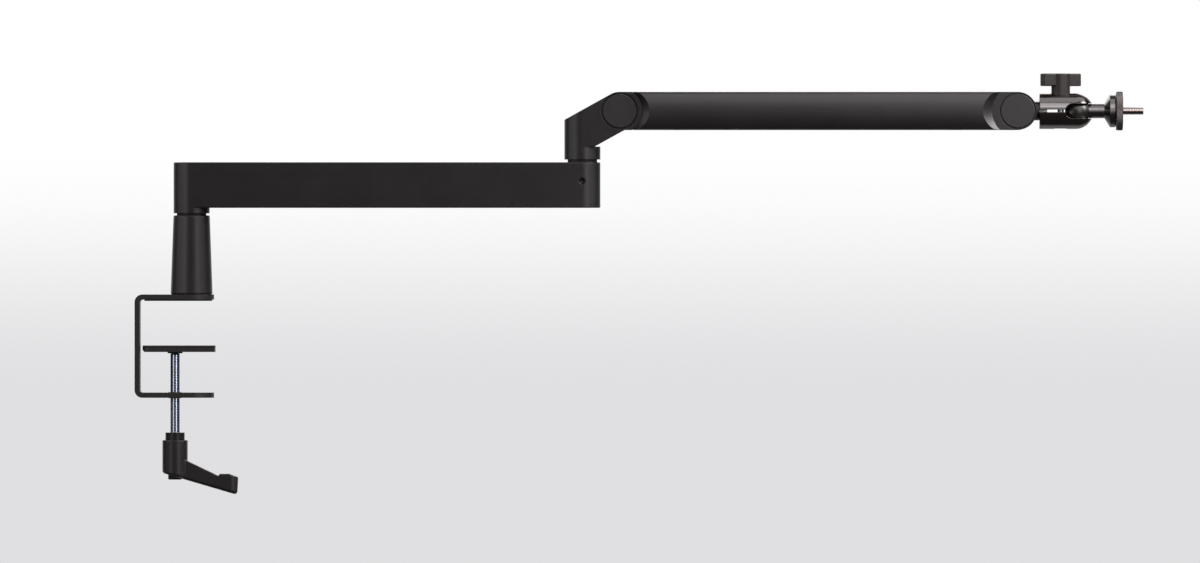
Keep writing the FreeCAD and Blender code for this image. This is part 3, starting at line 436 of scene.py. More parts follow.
def grained_plastic(settings):
    """Spark-eroded grain of the moulded ratchet lever."""
    material, graph = finish("grained_lever_plastic")
    pits = graph.cells(0.55 * MM)
    mottle = graph.noise(settings.mottle, detail=3)
    rub = graph.edges(settings.edge * 2)
    tone = graph.mix(mottle, rgba(settings.lever, 0.8), rgba(settings.lever, 1.25))
    tone = graph.mix(rub * 0.35, tone, rgba(settings.wear))
    roughness = 0.36 + 0.2 * (pits - 0.4) + 0.1 * (mottle - 0.5)
    relief = graph.bump(pits, depth=0.04 * MM, normal=graph.rounded(settings.edge * 2), strength=0.5)
    graph.surface(Base_Color=tone, Roughness=roughness, Normal=relief, IOR=1.48)
    return material


def cap_plastic(settings):
    """Even satin plastic of the hinge caps and the cable covers."""
    material, graph = finish("satin_cap_plastic")
    grain = graph.noise(0.25 * MM, detail=3)
    mottle = graph.noise(settings.mottle / 2, detail=3)
    tone = graph.mix(mottle * 0.7 + grain * 0.3, rgba(settings.cap, 0.82), rgba(settings.cap, 1.2))
    tone = graph.mix(graph.edges(settings.edge) * 0.3, tone, rgba(settings.wear))
    roughness = 0.43 + 0.12 * (grain - 0.5) + 0.08 * (mottle - 0.5)
    relief = graph.bump(grain, depth=0.01 * MM, normal=graph.rounded(settings.edge), strength=0.7)
    graph.surface(Base_Color=tone, Roughness=roughness, Normal=relief, IOR=1.47)
    return material


def slip_plastic(settings):
    """Dull plastic of the slip rings, with a faint grain."""
    material, graph = finish("dull_slip_plastic")
    grain = graph.noise(0.4 * MM, detail=2)
    tone = graph.mix(grain, rgba(settings.washer, 0.6), rgba(settings.washer, 1.5))
    relief = graph.bump(grain, depth=0.02 * MM)
    graph.surface(Base_Color=tone, Roughness=0.55 + 0.15 * (grain - 0.5), Normal=relief)
    return material


def gloss_coat(name, tone, settings, dullness):
    """Deep gloss black with faint waves and smudges."""
    material, graph = finish(name)
    wave = graph.noise(4 * MM, detail=1)
    smudge = graph.noise(7 * MM, detail=4)
    speck = graph.noise(0.2 * MM, detail=2)
    shade = graph.mix(smudge, rgba(tone, 0.75), rgba(tone, 1.3))
    roughness = dullness + 0.10 * (smudge - 0.4) + 0.04 * (speck - 0.5)
    relief = graph.bump(wave, depth=0.02 * MM, normal=graph.rounded(settings.edge), strength=0.5)
    graph.surface(Base_Color=shade, Roughness=roughness, Normal=relief, IOR=2.0,
                  Coat_Weight=0.2, Coat_Roughness=0.08)
    return material


def head_gloss(settings):
    """Polished coat of the ball head's jaws."""
    return gloss_coat("gloss_head_black", settings.head, settings, dullness=0.13)


def stem_gloss(settings):
    """Coat of the stem, a little duller than the jaws."""
    return gloss_coat("gloss_stem_black", settings.stem, settings, dullness=0.22)


def ball_satin(settings):
    """Satin black of the ball, polished in patches where the jaws hold it."""
    material, graph = finish("satin_ball_black")
    grain = graph.noise(0.25 * MM, detail=3)
    rub = graph.fading(graph.noise(5 * MM, detail=3), (0.40, 0.62))
    tone = graph.mix(rub, rgba(settings.stem, 0.8), rgba(settings.stem, 1.3))
    roughness = 0.40 + 0.12 * (grain - 0.5) - 0.06 * rub
    relief = graph.bump(grain, depth=0.006 * MM)
    graph.surface(Base_Color=tone, Roughness=roughness, Normal=relief, IOR=1.6)
    return material


def knob_plastic(settings):
    """Warm black plastic of the tension knob."""
    material, graph = finish("warm_knob_plastic")
    grain = graph.noise(0.3 * MM, detail=3)
    mottle = graph.noise(6 * MM, detail=3)
    tone = graph.mix(mottle, rgba(settings.knob, 0.8), rgba(settings.knob, 1.25))
    tone = graph.mix(graph.edges(settings.edge) * 0.3, tone, rgba(settings.wear))
    roughness = 0.48 + 0.14 * (grain - 0.5) + 0.10 * (mottle - 0.5)
    relief = graph.bump(grain, depth=0.012 * MM, normal=graph.rounded(settings.edge), strength=0.7)
    graph.surface(Base_Color=tone, Roughness=roughness, Normal=relief, IOR=1.46)
    return material


def dark_ring(settings):
    """Dark coated metal of the lock ring, rubbed brighter on the crests of its knurl."""
    material, graph = finish("dark_ring_metal")
    grain = graph.noise(0.25 * MM, detail=3)
    mottle = graph.noise(5 * MM, detail=3)
    edge = graph.edges(0.15 * MM)
    tone = graph.mix(mottle * 0.6 + grain * 0.4, rgba(settings.ring, 0.75), rgba(settings.ring, 1.2))
    tone = graph.mix(edge * 0.4, tone, rgba(settings.ring, 2.2))
    roughness = 0.42 + 0.14 * (grain - 0.5) - 0.08 * edge
    relief = graph.bump(grain, depth=0.01 * MM)
    graph.surface(Base_Color=tone, Metallic=0.85, Roughness=roughness, Normal=relief)
    return material


def zinc_plate(settings, groove=None):
    """Bright zinc with the faint blue and straw clouds of its passivation.
    Groove, if given, takes the graph and gives a value that is 1 in the thread's roots, where painted shade
    darkens the zinc and makes it rougher."""
    material, graph = finish("bright_zinc_plate")
    cloud = graph.noise(7 * MM, detail=3)
    grain = graph.noise(0.3 * MM, detail=3)
    straw = (settings.zinc[0] * 1.08, settings.zinc[1] * 0.98, settings.zinc[2] * 0.86, 1)
    tone = graph.mix(graph.fading(cloud, (0.4, 0.7)), rgba(settings.zinc), straw)
    tone = graph.mix(grain * 0.15, tone, rgba(settings.zinc, 0.6))
    roughness = 0.20 + 0.04 * (grain - 0.5) + 0.08 * (cloud - 0.5)
    if groove:
        # Painted shade in the thread's roots: the tone goes nearly black there, and roughness rises
        root_shade = groove(graph)
        tone = graph.mix(root_shade, tone, rgba(settings.zinc, 0.06))
        roughness = roughness + 0.45 * root_shade
    relief = graph.bump(grain, depth=0.001 * MM)
    graph.surface(Base_Color=tone, Metallic=1.0, Roughness=roughness, Normal=relief)
    return material


def bright_stub(settings):
    """Bright turned steel of the microphone thread."""
    material, graph = finish("bright_stub_steel")
    grain = graph.noise(0.25 * MM, detail=3)
    cloud = graph.noise(3 * MM, detail=2)
    tone = graph.mix(cloud * 0.6 + grain * 0.4, rgba(settings.stub, 0.7), rgba(settings.stub, 1.15))
    roughness = 0.16 + 0.10 * (grain - 0.5)
    relief = graph.bump(grain, depth=0.006 * MM)
    graph.surface(Base_Color=tone, Metallic=1.0, Roughness=roughness, Normal=relief)
    return material


def plain_steel(settings):
    """Turned steel of pins, spigots, nuts and the spring."""
    material, graph = finish("plain_turned_steel")
    grain = graph.noise(0.3 * MM, detail=3)
    cloud = graph.noise(9 * MM, detail=3)
    tone = graph.mix(cloud * 0.6 + grain * 0.4, rgba(settings.steel, 0.7), rgba(settings.steel, 1.15))
    roughness = 0.32 + 0.16 * (grain - 0.5) + 0.08 * (cloud - 0.5)
    relief = graph.bump(grain, depth=0.01 * MM, normal=graph.rounded(settings.edge))
    graph.surface(Base_Color=tone, Metallic=1.0, Roughness=roughness, Normal=relief)
    return material


def black_steel(settings):
    """Blackened steel of the small socket screws and the lever's insert."""
    material, graph = finish("blackened_steel")
    grain = graph.noise(0.25 * MM, detail=3)
    cloud = graph.noise(2.5 * MM, detail=3)
    edge = graph.edges(settings.edge / 2)
    tone = graph.mix(cloud, rgba(settings.wear, 0.35), rgba(settings.wear, 0.7))
    tone = graph.mix(edge * 0.5, tone, rgba(settings.steel, 0.4))
    roughness = 0.36 + 0.16 * (grain - 0.5)
    relief = graph.bump(grain, depth=0.008 * MM, normal=graph.rounded(settings.edge / 2))
    graph.surface(Base_Color=tone, Metallic=0.7, Roughness=roughness, Normal=relief)
    return material


def bearing_bronze(settings):
    """Sintered bronze with open pores."""
    material, graph = finish("sintered_bronze")
    pores = graph.ramp(graph.cells(0.3 * MM), (0.08, 1), (0.22, 0))
    cloud = graph.noise(4 * MM, detail=3)
    tone = graph.mix(cloud, rgba(settings.bronze, 0.75), rgba(settings.bronze, 1.2))
    tone = graph.mix(pores * 0.7, tone, rgba(settings.bronze, 0.15))
    relief = graph.bump(1 - pores, depth=0.03 * MM)
    graph.surface(Base_Color=tone, Metallic=1.0, Roughness=0.42 + 0.2 * pores, Normal=relief)
    return material


def pad_rubber(settings):
    """Matte rubber with a fine pebble."""
    material, graph = finish("pebbled_pad_rubber")
    pebble = graph.cells(0.7 * MM)
    dust = graph.noise(6 * MM, detail=4)
    tone = graph.mix(dust, rgba(settings.rubber, 0.7), rgba(settings.rubber, 1.5))
    relief = graph.bump(1 - pebble, depth=0.05 * MM, strength=0.6)
    graph.surface(Base_Color=tone, Roughness=0.72 + 0.2 * (dust - 0.5), Normal=relief)
    return material


# Finish of each material slot, and of the nodes that have one of their own
FINISH_OF_SLOT = {
    "black_powder_coat": textured_coat,
    "black_rubber": pad_rubber,
    "zinc_plate": zinc_plate,
    "plain_steel": plain_steel,
    "lever_plastic": grained_plastic,
    "black_aluminium": satin_coat,
    "cap_plastic": cap_plastic,
    "washer_plastic": slip_plastic,
    "bush_bronze": bearing_bronze,
    "gloss_head": head_gloss,
    "knob_plastic": knob_plastic,
    "black_steel": stem_gloss,
    "blackened_steel": black_steel,
    "ring_aluminium": dark_ring,
}
FINISH_OF_NODE = {"ball": ball_satin}


# Mesh building


def clamp01(value):
    return min(1.0, max(0.0, value))


def thread(place, crest):
    """Share of a thread's depth cut away at this place along its pitch: 0 on the crest, 1 in the root."""
    side = (1 - crest) / 2
    return clamp01((side - abs(place % 1 - 0.5)) / (side - ROOT / 2))


def hexagon_radius(flats, angle):
    """Reach of a hexagon with this width across flats."""
    sixth = TURN / 6
    return flats / 2 / math.cos((angle + sixth / 2) % sixth - sixth / 2)


def plain_row(height, radius):
    """A round line of a turned mesh."""
    return height, lambda angle: radius


def hexagon_row(height, flats):
    """A hexagonal line of a turned mesh."""
    return height, lambda angle: hexagon_radius(flats, angle)


def socket_rows(start, flats, depth, mouth, lip):
    """Lines of a hexagon socket, from its coned floor out to its flared mouth."""
    return [
        plain_row(start + depth * CONE, flats * POINT),
        hexagon_row(start + depth, flats),
        hexagon_row(start + lip, flats),
        hexagon_row(start, mouth),
    ]


class ThreadRow:
    """A corner of a thread's profile as a line, which climbs one pitch in a turn between two flat ends."""

    def __init__(self, turns, low, high, radius, depth, pitch, crest, chamfer):
        self.turns = turns
        self.low = low
        self.high = high
        self.full = radius
        self.depth = depth
        self.pitch = pitch
        self.crest = crest
        self.chamfer = chamfer

    def height(self, angle):
        climb = self.pitch * (self.turns - 1 + angle / TURN)
        return min(self.high, self.low + max(0.0, climb))

    def radius(self, angle):
        height = self.height(angle)
        place = (height - self.low) / self.pitch - angle / TURN
        trim = max(0.0, self.chamfer[0] - (height - self.low), self.chamfer[1] - (self.high - height))
        return self.full - max(trim, self.depth * thread(place, self.crest))

    def flat(self):
        """Whether the whole line lies in one of the two ends."""
        return self.turns == 0 or self.low + self.pitch * (self.turns - 1) >= self.high


def threaded_rows(low, high, radius, depth, pitch, crest, chamfer):
    """Lines of a threaded length, chamfered at the ends where chamfer says so."""
    side = (1 - crest) / 2
    corners = (0.5 - side, 0.5 - ROOT / 2, 0.5 + ROOT / 2, 0.5 + side)
    turns = [0]
    for turn in range(math.ceil((high - low) / pitch) + 3):
        turns += [turn + corner for corner in corners]
    return [ThreadRow(turn, low, high, radius, depth, pitch, crest, chamfer) for turn in turns]


def turned(name, rows, segments, placement, ring=False):
    """A mesh turned about Z from rows of height and radius, then put in its place.
    A flat face closes each end, but a ring runs back to its first row instead."""
    mesh = bmesh.new()
    rings = []
    ends = []
    for index, row in enumerate(rows):
        climbs = isinstance(row, ThreadRow)
        points = []
        for step in range(segments):
            angle = TURN * step / segments
            height, reach = (row.height(angle), row.radius(angle)) if climbs else (row[0], row[1](angle))
            points.append(mesh.verts.new((reach * math.cos(angle), reach * math.sin(angle), height)))
        rings.append(points)
        ends.append(index + CORNERS if climbs and not row.flat() else index)
    pairs = list(zip(range(len(rows)), range(1, len(rows))))
    if ring:
        pairs.append((len(rows) - 1, 0))
    else:
        mesh.faces.new(list(reversed(rings[0])))
        mesh.faces.new(rings[-1])
    for low, high in pairs:
        lower, upper = rings[low], rings[high]
        for step in range(segments - 1):
            mesh.faces.new((lower[step], lower[step + 1], upper[step + 1], upper[step]))
        mesh.faces.new((lower[-1], rings[ends[low]][0], rings[ends[high]][0], upper[-1]))
    bmesh.ops.remove_doubles(mesh, verts=mesh.verts, dist=MERGE)
    bmesh.ops.recalc_face_normals(mesh, faces=mesh.faces)
    mesh.transform(placement)
    return mesh_object(name, mesh)


def coil(name, radius, wire, bottom, top, turns, placement):
    """A round wire of this radius wound about Z from one height to another, then put in its place."""
    mesh = bmesh.new()
    climb = (top - bottom) / (TURN * turns)
    steps = turns * COIL_STEPS
    rings = []
    for step in range(steps + 1):
        angle = TURN * turns * step / steps
        outward = Vector((math.cos(angle), math.sin(angle), 0))
        along = Vector((-radius * math.sin(angle), radius * math.cos(angle), climb)).normalized()
        across = along.cross(outward)
        centre = radius * outward + Vector((0, 0, bottom + climb * angle))
        ring = []
        for side in range(COIL_SIDES):
            around = TURN * side / COIL_SIDES
            reach = math.cos(around) * outward + math.sin(around) * across
            ring.append(mesh.verts.new(centre + wire * reach))
        rings.append(ring)
    mesh.faces.new(rings[0])
    mesh.faces.new(rings[-1])
    for lower, upper in zip(rings, rings[1:]):
        for side in range(COIL_SIDES):
            after = (side + 1) % COIL_SIDES
            mesh.faces.new((lower[side], lower[after], upper[after], upper[side]))
    bmesh.ops.recalc_face_normals(mesh, faces=mesh.faces)
    mesh.transform(placement)
    return mesh_object(name, mesh)


def mesh_object(name, mesh, smooth_angle=32):
    """Puts a finished mesh into the scene, smooth except at corners."""
    data = bpy.data.meshes.new(name)
    mesh.to_mesh(data)
    mesh.free()
    made = bpy.data.objects.new(name, data)
    bpy.context.scene.collection.objects.link(made)
    data.shade_smooth()
    data.set_sharp_from_angle(angle=math.radians(smooth_angle))
    return made


def finish_of(node):
    """The material that a solid was given."""
    return frame["nodes"][node].data.materials[0]


def dress(piece, body, node, material):
    """Gives a piece its finish and its body, and lets it stand for a node."""
    piece.data.materials.append(material)
    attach(piece, body)
    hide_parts(node)


def middle(node):
    """Middle of a solid's box."""
    low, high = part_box(node)
    return (low + high) / 2


def axis_up(node):
    """Placement of a mesh turned about Z on the upright axis of a node, at height 0."""
    centre = middle(node)
    return Matrix.Translation((centre.x, centre.y, 0))


def axis_along(node):
    """Placement of a mesh turned about Z on a node's axis along X, with height as X."""
    centre = middle(node)
    return Matrix.Translation((0, centre.y, centre.z)) @ Matrix.Rotation(math.pi / 2, 4, "Y")


def axis_back(node):
    """Placement of a mesh turned about Z on a node's axis along Y, with height as Y."""
    centre = middle(node)
    return Matrix.Translation((centre.x, 0, centre.z)) @ Matrix.Rotation(-math.pi / 2, 4, "X")


def slab(name, corners, bottom, top, edge):
    """A flat piece with this plan, given round, and rounded rims."""
    mesh = bmesh.new()
    base = [mesh.verts.new((x, y, bottom)) for x, y in corners]
    face = mesh.faces.new(base)
    raised = bmesh.ops.extrude_face_region(mesh, geom=[face])
    moved = [item for item in raised["geom"] if isinstance(item, bmesh.types.BMVert)]
    bmesh.ops.translate(mesh, vec=(0, 0, top - bottom), verts=moved)
    bmesh.ops.recalc_face_normals(mesh, faces=mesh.faces)
    rims = []
    for line in mesh.edges:
        if abs(line.verts[0].co.z - line.verts[1].co.z) < MERGE:
            rims.append(line)
    bmesh.ops.bevel(mesh, geom=rims, offset=edge, segments=3, profile=0.5, affect="EDGES")
    return mesh_object(name, mesh, smooth_angle=50)


def arc_points(centre, radius, start, end, count):
    """Points of an arc between two angles in degrees, both ends included."""
    points = []
    for index in range(count + 1):
        angle = math.radians(start + (end - start) * index / count)
        points.append((centre[0] + radius * math.cos(angle), centre[1] + radius * math.sin(angle)))
    return points


# Operators


class FinishNodes(bpy.types.Operator):
    """Gives every solid of the arm the finish of its material slot"""

    bl_idname = "boom_arm.finish_nodes"
    bl_label = "Finish the solids"

    def execute(self, context):
        settings = context.scene.boom_arm_finish
        made = {}
        for part in frame["record"]["subparts"]:
            node = part["node"]
            recipe = FINISH_OF_NODE.get(node, FINISH_OF_SLOT[part["material_slot"]])
            if recipe not in made:
                made[recipe] = recipe(settings)
            data = frame["nodes"][node].data
            data.materials.clear()
            data.materials.append(made[recipe])
        return {"FINISHED"}


class SmoothLever(bpy.types.Operator):
    """Runs the corners of the moulded lever into each other"""

    bl_idname = "boom_arm.smooth_lever"
    bl_label = "Smooth the lever"

    def execute(self, context):
        parts = context.scene.boom_arm_parts
        lever = frame["nodes"]["lever_handle"]
        cells = lever.modifiers.new("Cells", "REMESH")
        cells.mode = "VOXEL"
        cells.voxel_size = parts.lever_cell
        cells.use_smooth_shade = True
        blend = lever.modifiers.new("Blend", "SMOOTH")
        blend.factor = 0.5
        blend.iterations = parts.lever_passes
        return {"FINISHED"}


class ClampScrew(bpy.types.Operator):
    """Cuts the clamp screw's thread and turns its tip down"""

    bl_idname = "boom_arm.clamp_screw"
    bl_label = "Clamp screw"

    def execute(self, context):
        parts = context.scene.boom_arm_parts
        low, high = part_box("clamp_screw")
        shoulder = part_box("plate_swivel_cup")[0].z - parts.screw_seat
        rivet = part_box("pressure_plate")[1].z - parts.rivet_height - parts.screw_seat
        depth = parts.screw_thread
        radius = (parts.screw_flank + depth) / 2
        tip = parts.screw_tip / 2
        ends = (depth, depth)
        rows = threaded_rows(low.z, shoulder, radius, depth, parts.screw_pitch, parts.screw_crest, ends)
        rows += [
            plain_row(shoulder, tip),
            plain_row(rivet, tip),
            plain_row(rivet, parts.rivet_base / 2),
            plain_row(high.z - parts.rivet_edge, parts.rivet_width / 2),
            plain_row(high.z, parts.rivet_top / 2),
        ]
        screw = turned("threaded_clamp_screw", rows, SCREW_STEPS, axis_up("clamp_screw"))

        def groove(graph):
            # Painted shade in the thread's roots: full up to the first share of the depth, none from the second
            height = (graph.off_axis(middle("clamp_screw")) - (radius - depth)) / depth
            return graph.ramp(height, (ROOT_SHADE[0], 1), (ROOT_SHADE[1], 0))

        material = zinc_plate(context.scene.boom_arm_finish, groove)
        dress(screw, "clamp_spindle", "clamp_screw", material)
        return {"FINISHED"}


class MicStub(bpy.types.Operator):
    """Cuts the thread that takes the microphone"""

    bl_idname = "boom_arm.mic_stub"
    bl_label = "Microphone stub"

    def execute(self, context):
        parts = context.scene.boom_arm_parts
        low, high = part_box("mic_thread_stud")
        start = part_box("lock_ring")[1].x
        neck = parts.stub_neck / 2
        depth = parts.stub_thread
        radius = (parts.stub_flank + depth) / 2
        ends = (depth, depth * LEAD)
        rows = [plain_row(low.x, neck), plain_row(start, neck)]
        rows += threaded_rows(start, high.x, radius, depth, parts.stub_pitch, parts.stub_crest, ends)
        stub = turned("threaded_mic_stub", rows, SCREW_STEPS, axis_along("mic_thread_stud"))
        material = bright_stub(context.scene.boom_arm_finish)
        dress(stub, "mic_mount", "mic_thread_stud", material)
        return {"FINISHED"}


class LockRing(bpy.types.Operator):
    """Knurls the lock ring behind the microphone"""

    bl_idname = "boom_arm.lock_ring"
    bl_label = "Lock ring"

    def execute(self, context):
        parts = context.scene.boom_arm_parts
        low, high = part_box("lock_ring")
        radius = (high.z - low.z) / 2
        bore = parts.ring_bore / 2
        edge = parts.ring_edge
        face = radius - edge - parts.knurl_depth

        def knurl(angle):
            place = (angle / TURN * parts.knurl_count) % 1
            return radius - parts.knurl_depth * clamp01(abs(2 * place - 1) * KNURL_SLOPE - KNURL_CREST)

        rows = [
            plain_row(low.x, bore + edge / 2),
            plain_row(low.x, face),
            (low.x + edge, knurl),
            (high.x - edge, knurl),
            plain_row(high.x, face),
            plain_row(high.x, bore + edge / 2),
            plain_row(high.x - edge / 2, bore),
            plain_row(low.x + edge / 2, bore),
        ]
        steps = parts.knurl_count * KNURL_STEPS
        ring = turned("knurled_lock_ring", rows, steps, axis_along("lock_ring"), ring=True)
        dress(ring, "mic_lock_ring", "lock_ring", finish_of("lock_ring"))
        return {"FINISHED"}


class RubberPads(bpy.types.Operator):
    """Cuts the clamp's two rubber pads, with rounded rims"""

    bl_idname = "boom_arm.rubber_pads"
    bl_label = "Rubber pads"

    def execute(self, context):
        parts = context.scene.boom_arm_parts
        low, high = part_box("jaw_pad")
        half = high.y
        plan = [(low.x, half), (low.x, -half)]
        plan += arc_points((0, 0), half, -90, 90, ROUND_STEPS)
        pad = slab("rubber_jaw_pad", plan, low.z, high.z, parts.pad_edge)
        dress(pad, "clamp", "jaw_pad", finish_of("jaw_pad"))

        low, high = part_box("pressure_pad")
        half = high.y
        corner = parts.pad_corner
        plan = [(high.x, -half), (high.x, half)]
        plan += arc_points((low.x + corner, half - corner), corner, 90, 180, CORNER_STEPS)
        plan += arc_points((low.x + corner, corner - half), corner, 180, 270, CORNER_STEPS)
        pad = slab("rubber_foot_pad", plan, low.z, high.z, parts.pad_edge)
        dress(pad, "pressure_foot", "pressure_pad", finish_of("pressure_pad"))
        return {"FINISHED"}


class SocketScrews(bpy.types.Operator):
    """Makes the grub screw in the lower arm and the lever's socket screw"""

    bl_idname = "boom_arm.socket_screws"
    bl_label = "Socket screws"

    def execute(self, context):
        parts = context.scene.boom_arm_parts
        pitch = parts.small_pitch
        depth = parts.small_thread
        crest = parts.small_crest
        material = finish_of("arm_grub_screw")
        low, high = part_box("arm_grub_screw")
        radius = (high.x - low.x) / 2
        rows = socket_rows(low.y, parts.grub_socket, parts.grub_depth, parts.grub_mouth, parts.grub_lip)
        rows += threaded_rows(low.y, high.y, radius, depth, pitch, crest, (depth, depth * LEAD))
        grub = turned("socket_grub_screw", rows, SCREW_STEPS, axis_back("arm_grub_screw"))
        dress(grub, "lower_arm", "arm_grub_screw", material)

        low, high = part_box("lever_screw")
        radius = (high.x - low.x) / 2
        shank = parts.lever_shank / 2
        neck = low.z + parts.lever_head
        edge = parts.lever_edge

        def knurl(angle):
            return radius - parts.head_knurl_depth * (math.cos(parts.head_knurls * angle) + 1) / 2

        rows = socket_rows(low.z, parts.lever_socket, parts.lever_depth, parts.lever_mouth, parts.lever_lip)
        rows += [
            plain_row(low.z, radius - edge),
            (low.z + edge, knurl),
            (neck - edge, knurl),
            plain_row(neck, radius - edge),
            plain_row(neck, shank),
        ]
        rows += threaded_rows(neck, high.z, shank, depth, pitch, crest, (0, edge))
        steps = parts.head_knurls * HEAD_STEPS
        screw = turned("lever_socket_screw", rows, steps, axis_up("lever_screw"))
        dress(screw, "clamp_spindle", "lever_screw", material)
        return {"FINISHED"}


class LeverSpring(bpy.types.Operator):
    """Winds the spring in the lever, and works out the share of its length that the lever's lift would leave,
    which nothing uses
    """

    bl_idname = "boom_arm.lever_spring"
    bl_label = "Lever spring"

    def execute(self, context):
        parts = context.scene.boom_arm_parts
        low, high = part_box("lever_spring")
        wire = parts.spring_wire / 2
        radius = (high.x - low.x) / 2 - wire
        bottom = low.z + wire
        top = high.z - wire
        place = axis_up("lever_spring")
        spring = coil("coiled_lever_spring", radius, wire, bottom, top, parts.spring_turns, place)
        dress(spring, "clamp_spindle", "lever_spring", finish_of("lever_spring"))
        lift = next(joint["range_m"][1] for joint in frame["joints"] if joint["name"] == "lever_lift")
        room = high.z - low.z
        keep = (room - lift - parts.spring_slack) / room
        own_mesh(spring)
        return {"FINISHED"}


class SlipRings(bpy.types.Operator):
    """Turns the slip rings under the two swivels"""

    bl_idname = "boom_arm.slip_rings"
    bl_label = "Slip rings"

    def execute(self, context):
        parts = context.scene.boom_arm_parts
        bore = parts.slip_bore / 2
        edge = parts.slip_edge
        for node, body in (("base_washer", "clamp"), ("elbow_washer", "lower_arm")):
            low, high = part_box(node)
            radius = (high.x - low.x) / 2
            bottom = low.z
            top = high.z - parts.slip_gap
            rows = [
                plain_row(bottom, bore),
                plain_row(bottom, radius - edge),
                plain_row(bottom + edge, radius),
                plain_row(top - edge, radius),
                plain_row(top, radius - edge),
                plain_row(top, bore),
            ]
            ring = turned("turned_" + node, rows, RING_STEPS, axis_up(node), ring=True)
            dress(ring, body, node, finish_of(node))
        return {"FINISHED"}


class Stage(bpy.types.Operator):
    """Sets the floor, the background, the soft lights and the camera"""

    bl_idname = "boom_arm.stage"
    bl_label = "Stage"

    def execute(self, context):
        settings = context.scene.boom_arm_stage
        make_floor(settings)
        make_world(context.scene, settings)
        make_lights(settings)
        make_camera(context.scene, settings)
        context.scene.view_settings.view_transform = "Standard"
        return {"FINISHED"}


# Stage


def make_floor(settings):
    """A pale round floor that fades into the background. The camera sees it in about the background's tone
    where no shadow falls, and not at all from below. Only a round part behind the arm throws light back."""
    mesh = bmesh.new()
    bmesh.ops.create_circle(mesh, cap_ends=True, segments=RING_STEPS, radius=settings.floor_radius)
    centre = Vector((settings.aim_x, 0, settings.floor_drop))
    mesh.transform(Matrix.Translation(centre))
    floor = mesh_object("floor", mesh)
    material, graph = finish("pale_paper_floor")
    camera = graph.node("ShaderNodeLightPath").output("Is Camera Ray")
    seen = graph.fading(graph.far(centre) / settings.floor_radius, SEEN_FADE)
    behind = Vector((settings.aim_x, settings.lit_back, settings.floor_drop))
    lit = graph.fading(graph.far(behind) / settings.lit_radius, LIT_FADE)
    below = graph.node("ShaderNodeNewGeometry").output("Backfacing")
    fade = camera * (seen | below) + (1 - camera) * lit
    fibre = graph.noise(0.8 * MM, detail=3)
    tone = graph.mix(fibre, rgba(settings.shade, 0.97), rgba(settings.shade, 1.03))
    tone = graph.mix(camera * (1 - settings.floor_paper), tone, (0, 0, 0, 1))
    paper = graph.node("ShaderNodeBsdfDiffuse", {}, {"Color": tone})
    inputs = {"Color": rgba(settings.shade), "Strength": camera * settings.floor_glow}
    glow = graph.node("ShaderNodeEmission", {}, inputs)
    bright = graph.node("ShaderNodeAddShader", {}, {0: paper, 1: glow})
    clear = graph.node("ShaderNodeBsdfTransparent")
    both = graph.node("ShaderNodeMixShader", {}, {0: fade, 1: bright, 2: clear})
    graph.node("ShaderNodeOutputMaterial", {}, {"Surface": both})
    floor.data.materials.append(material)


def make_world(scene, settings):
    """White above and pale grey below for the camera and behind the arm, dimmer light elsewhere."""
    world = bpy.data.worlds.new("studio")
    scene.world = world
    world.use_nodes = True
    graph = Graph(world.node_tree)
    direction = graph.node("ShaderNodeTexCoord").output("Generated")
    parts = graph.node("ShaderNodeSeparateXYZ", {}, {0: direction})
    low = (settings.fade_bottom - settings.aim_z) / settings.distance
    high = (settings.fade_top - settings.aim_z) / settings.distance
    ranges = {"Value": parts.output("Z"), "From Min": low, "From Max": high}
    fade = graph.node("ShaderNodeMapRange", {"interpolation_type": "SMOOTHSTEP"}, ranges)
    tone = graph.mix(fade, rgba(settings.shade), rgba(settings.light))
    ranges = {"Value": parts.output("Y"), "From Min": BEHIND[0], "From Max": BEHIND[1]}
    behind = graph.node("ShaderNodeMapRange", {"interpolation_type": "SMOOTHSTEP"}, ranges)
    path = graph.node("ShaderNodeLightPath")
    glossy = path.output("Is Glossy Ray")
    seen = path.output("Is Camera Ray") | glossy * behind
    dim = glossy * (settings.mirror - settings.ambient) + settings.ambient
    strength = seen + (1 - seen) * dim
    background = graph.node("ShaderNodeBackground", {}, {"Color": tone, "Strength": strength})
    graph.node("ShaderNodeOutputWorld", {}, {"Surface": background})


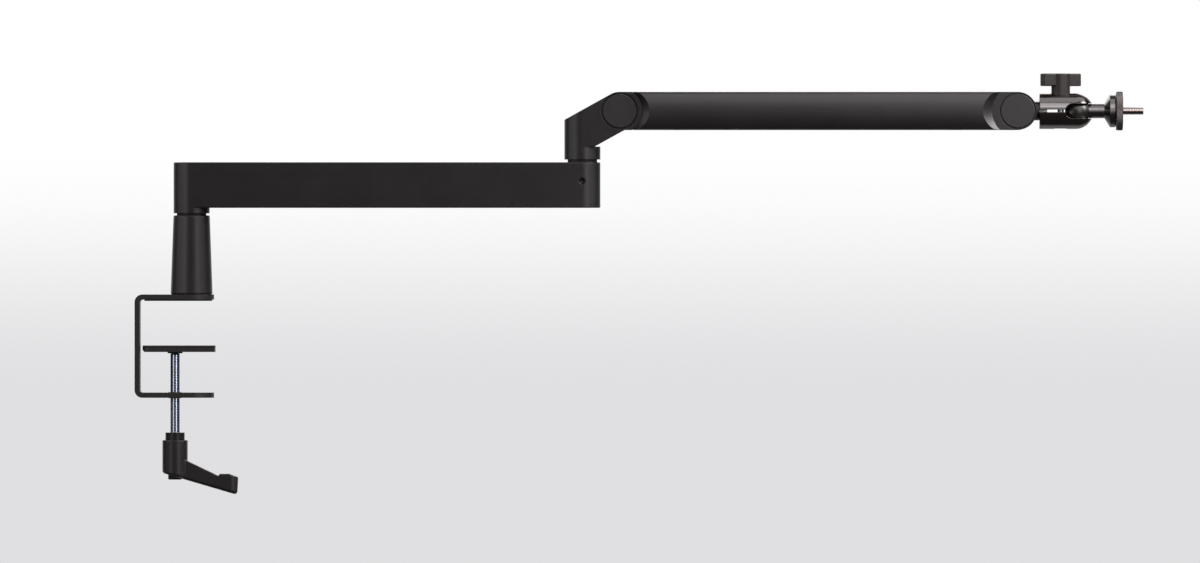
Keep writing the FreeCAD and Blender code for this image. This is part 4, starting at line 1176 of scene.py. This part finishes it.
def make_lights(settings):
    """Large soft lights above, behind and at both sides, and two small ones at the microphone's end."""
    for name, lamp in LAMPS.items():
        light = bpy.data.lights.new(name, "AREA")
        light.shape = "RECTANGLE"
        light.size, light.size_y = lamp.size
        light.energy = getattr(settings, name)
        light.color = settings.lamp
        light.spread = math.radians(lamp.spread)
        made = bpy.data.objects.new(name, light)
        made.visible_camera = False
        made.location = lamp.place
        made.rotation_euler = (Vector(lamp.aim) - Vector(lamp.place)).to_track_quat("-Z", "Y").to_euler()
        bpy.context.scene.collection.objects.link(made)


def make_camera(scene, settings):
    """A far camera square to the front."""
    data = bpy.data.cameras.new("camera")
    data.sensor_width = 36
    data.lens = data.sensor_width * settings.distance / settings.frame_width
    data.clip_end = 100
    camera = bpy.data.objects.new("camera", data)
    camera.location = (settings.aim_x, -settings.distance, settings.aim_z)
    camera.rotation_euler = (math.pi / 2, 0, 0)
    scene.collection.objects.link(camera)
    scene.camera = camera


# Panel and registration


class BoomArmPanel(bpy.types.Panel):
    """Steps that dress the arm, in their order"""

    bl_idname = "BOOM_ARM_PT_steps"
    bl_label = "Boom arm"
    bl_space_type = "VIEW_3D"
    bl_region_type = "UI"
    bl_category = "Boom arm"

    def draw(self, context):
        for step in STEPS:
            self.layout.operator(step.bl_idname)


STEPS = (FinishNodes, SmoothLever, ClampScrew, MicStub, LockRing, RubberPads, SocketScrews, LeverSpring,
         SlipRings, Stage)
SETTINGS = {
    "boom_arm_finish": FinishSettings,
    "boom_arm_parts": PartSettings,
    "boom_arm_stage": StageSettings,
}


def register():
    for name, group in SETTINGS.items():
        bpy.utils.register_class(group)
        setattr(bpy.types.Scene, name, PointerProperty(type=group))
    for step in STEPS:
        bpy.utils.register_class(step)
    bpy.utils.register_class(BoomArmPanel)


def unregister():
    bpy.utils.unregister_class(BoomArmPanel)
    for step in reversed(STEPS):
        bpy.utils.unregister_class(step)
    for name, group in SETTINGS.items():
        delattr(bpy.types.Scene, name)
        bpy.utils.unregister_class(group)


def main():
    register()
    bpy.ops.boom_arm.finish_nodes()
    bpy.ops.boom_arm.smooth_lever()
    bpy.ops.boom_arm.clamp_screw()
    bpy.ops.boom_arm.mic_stub()
    bpy.ops.boom_arm.lock_ring()
    bpy.ops.boom_arm.rubber_pads()
    bpy.ops.boom_arm.socket_screws()
    bpy.ops.boom_arm.lever_spring()
    bpy.ops.boom_arm.slip_rings()
    bpy.ops.boom_arm.stage()


if __name__ == "__main__":
    main()
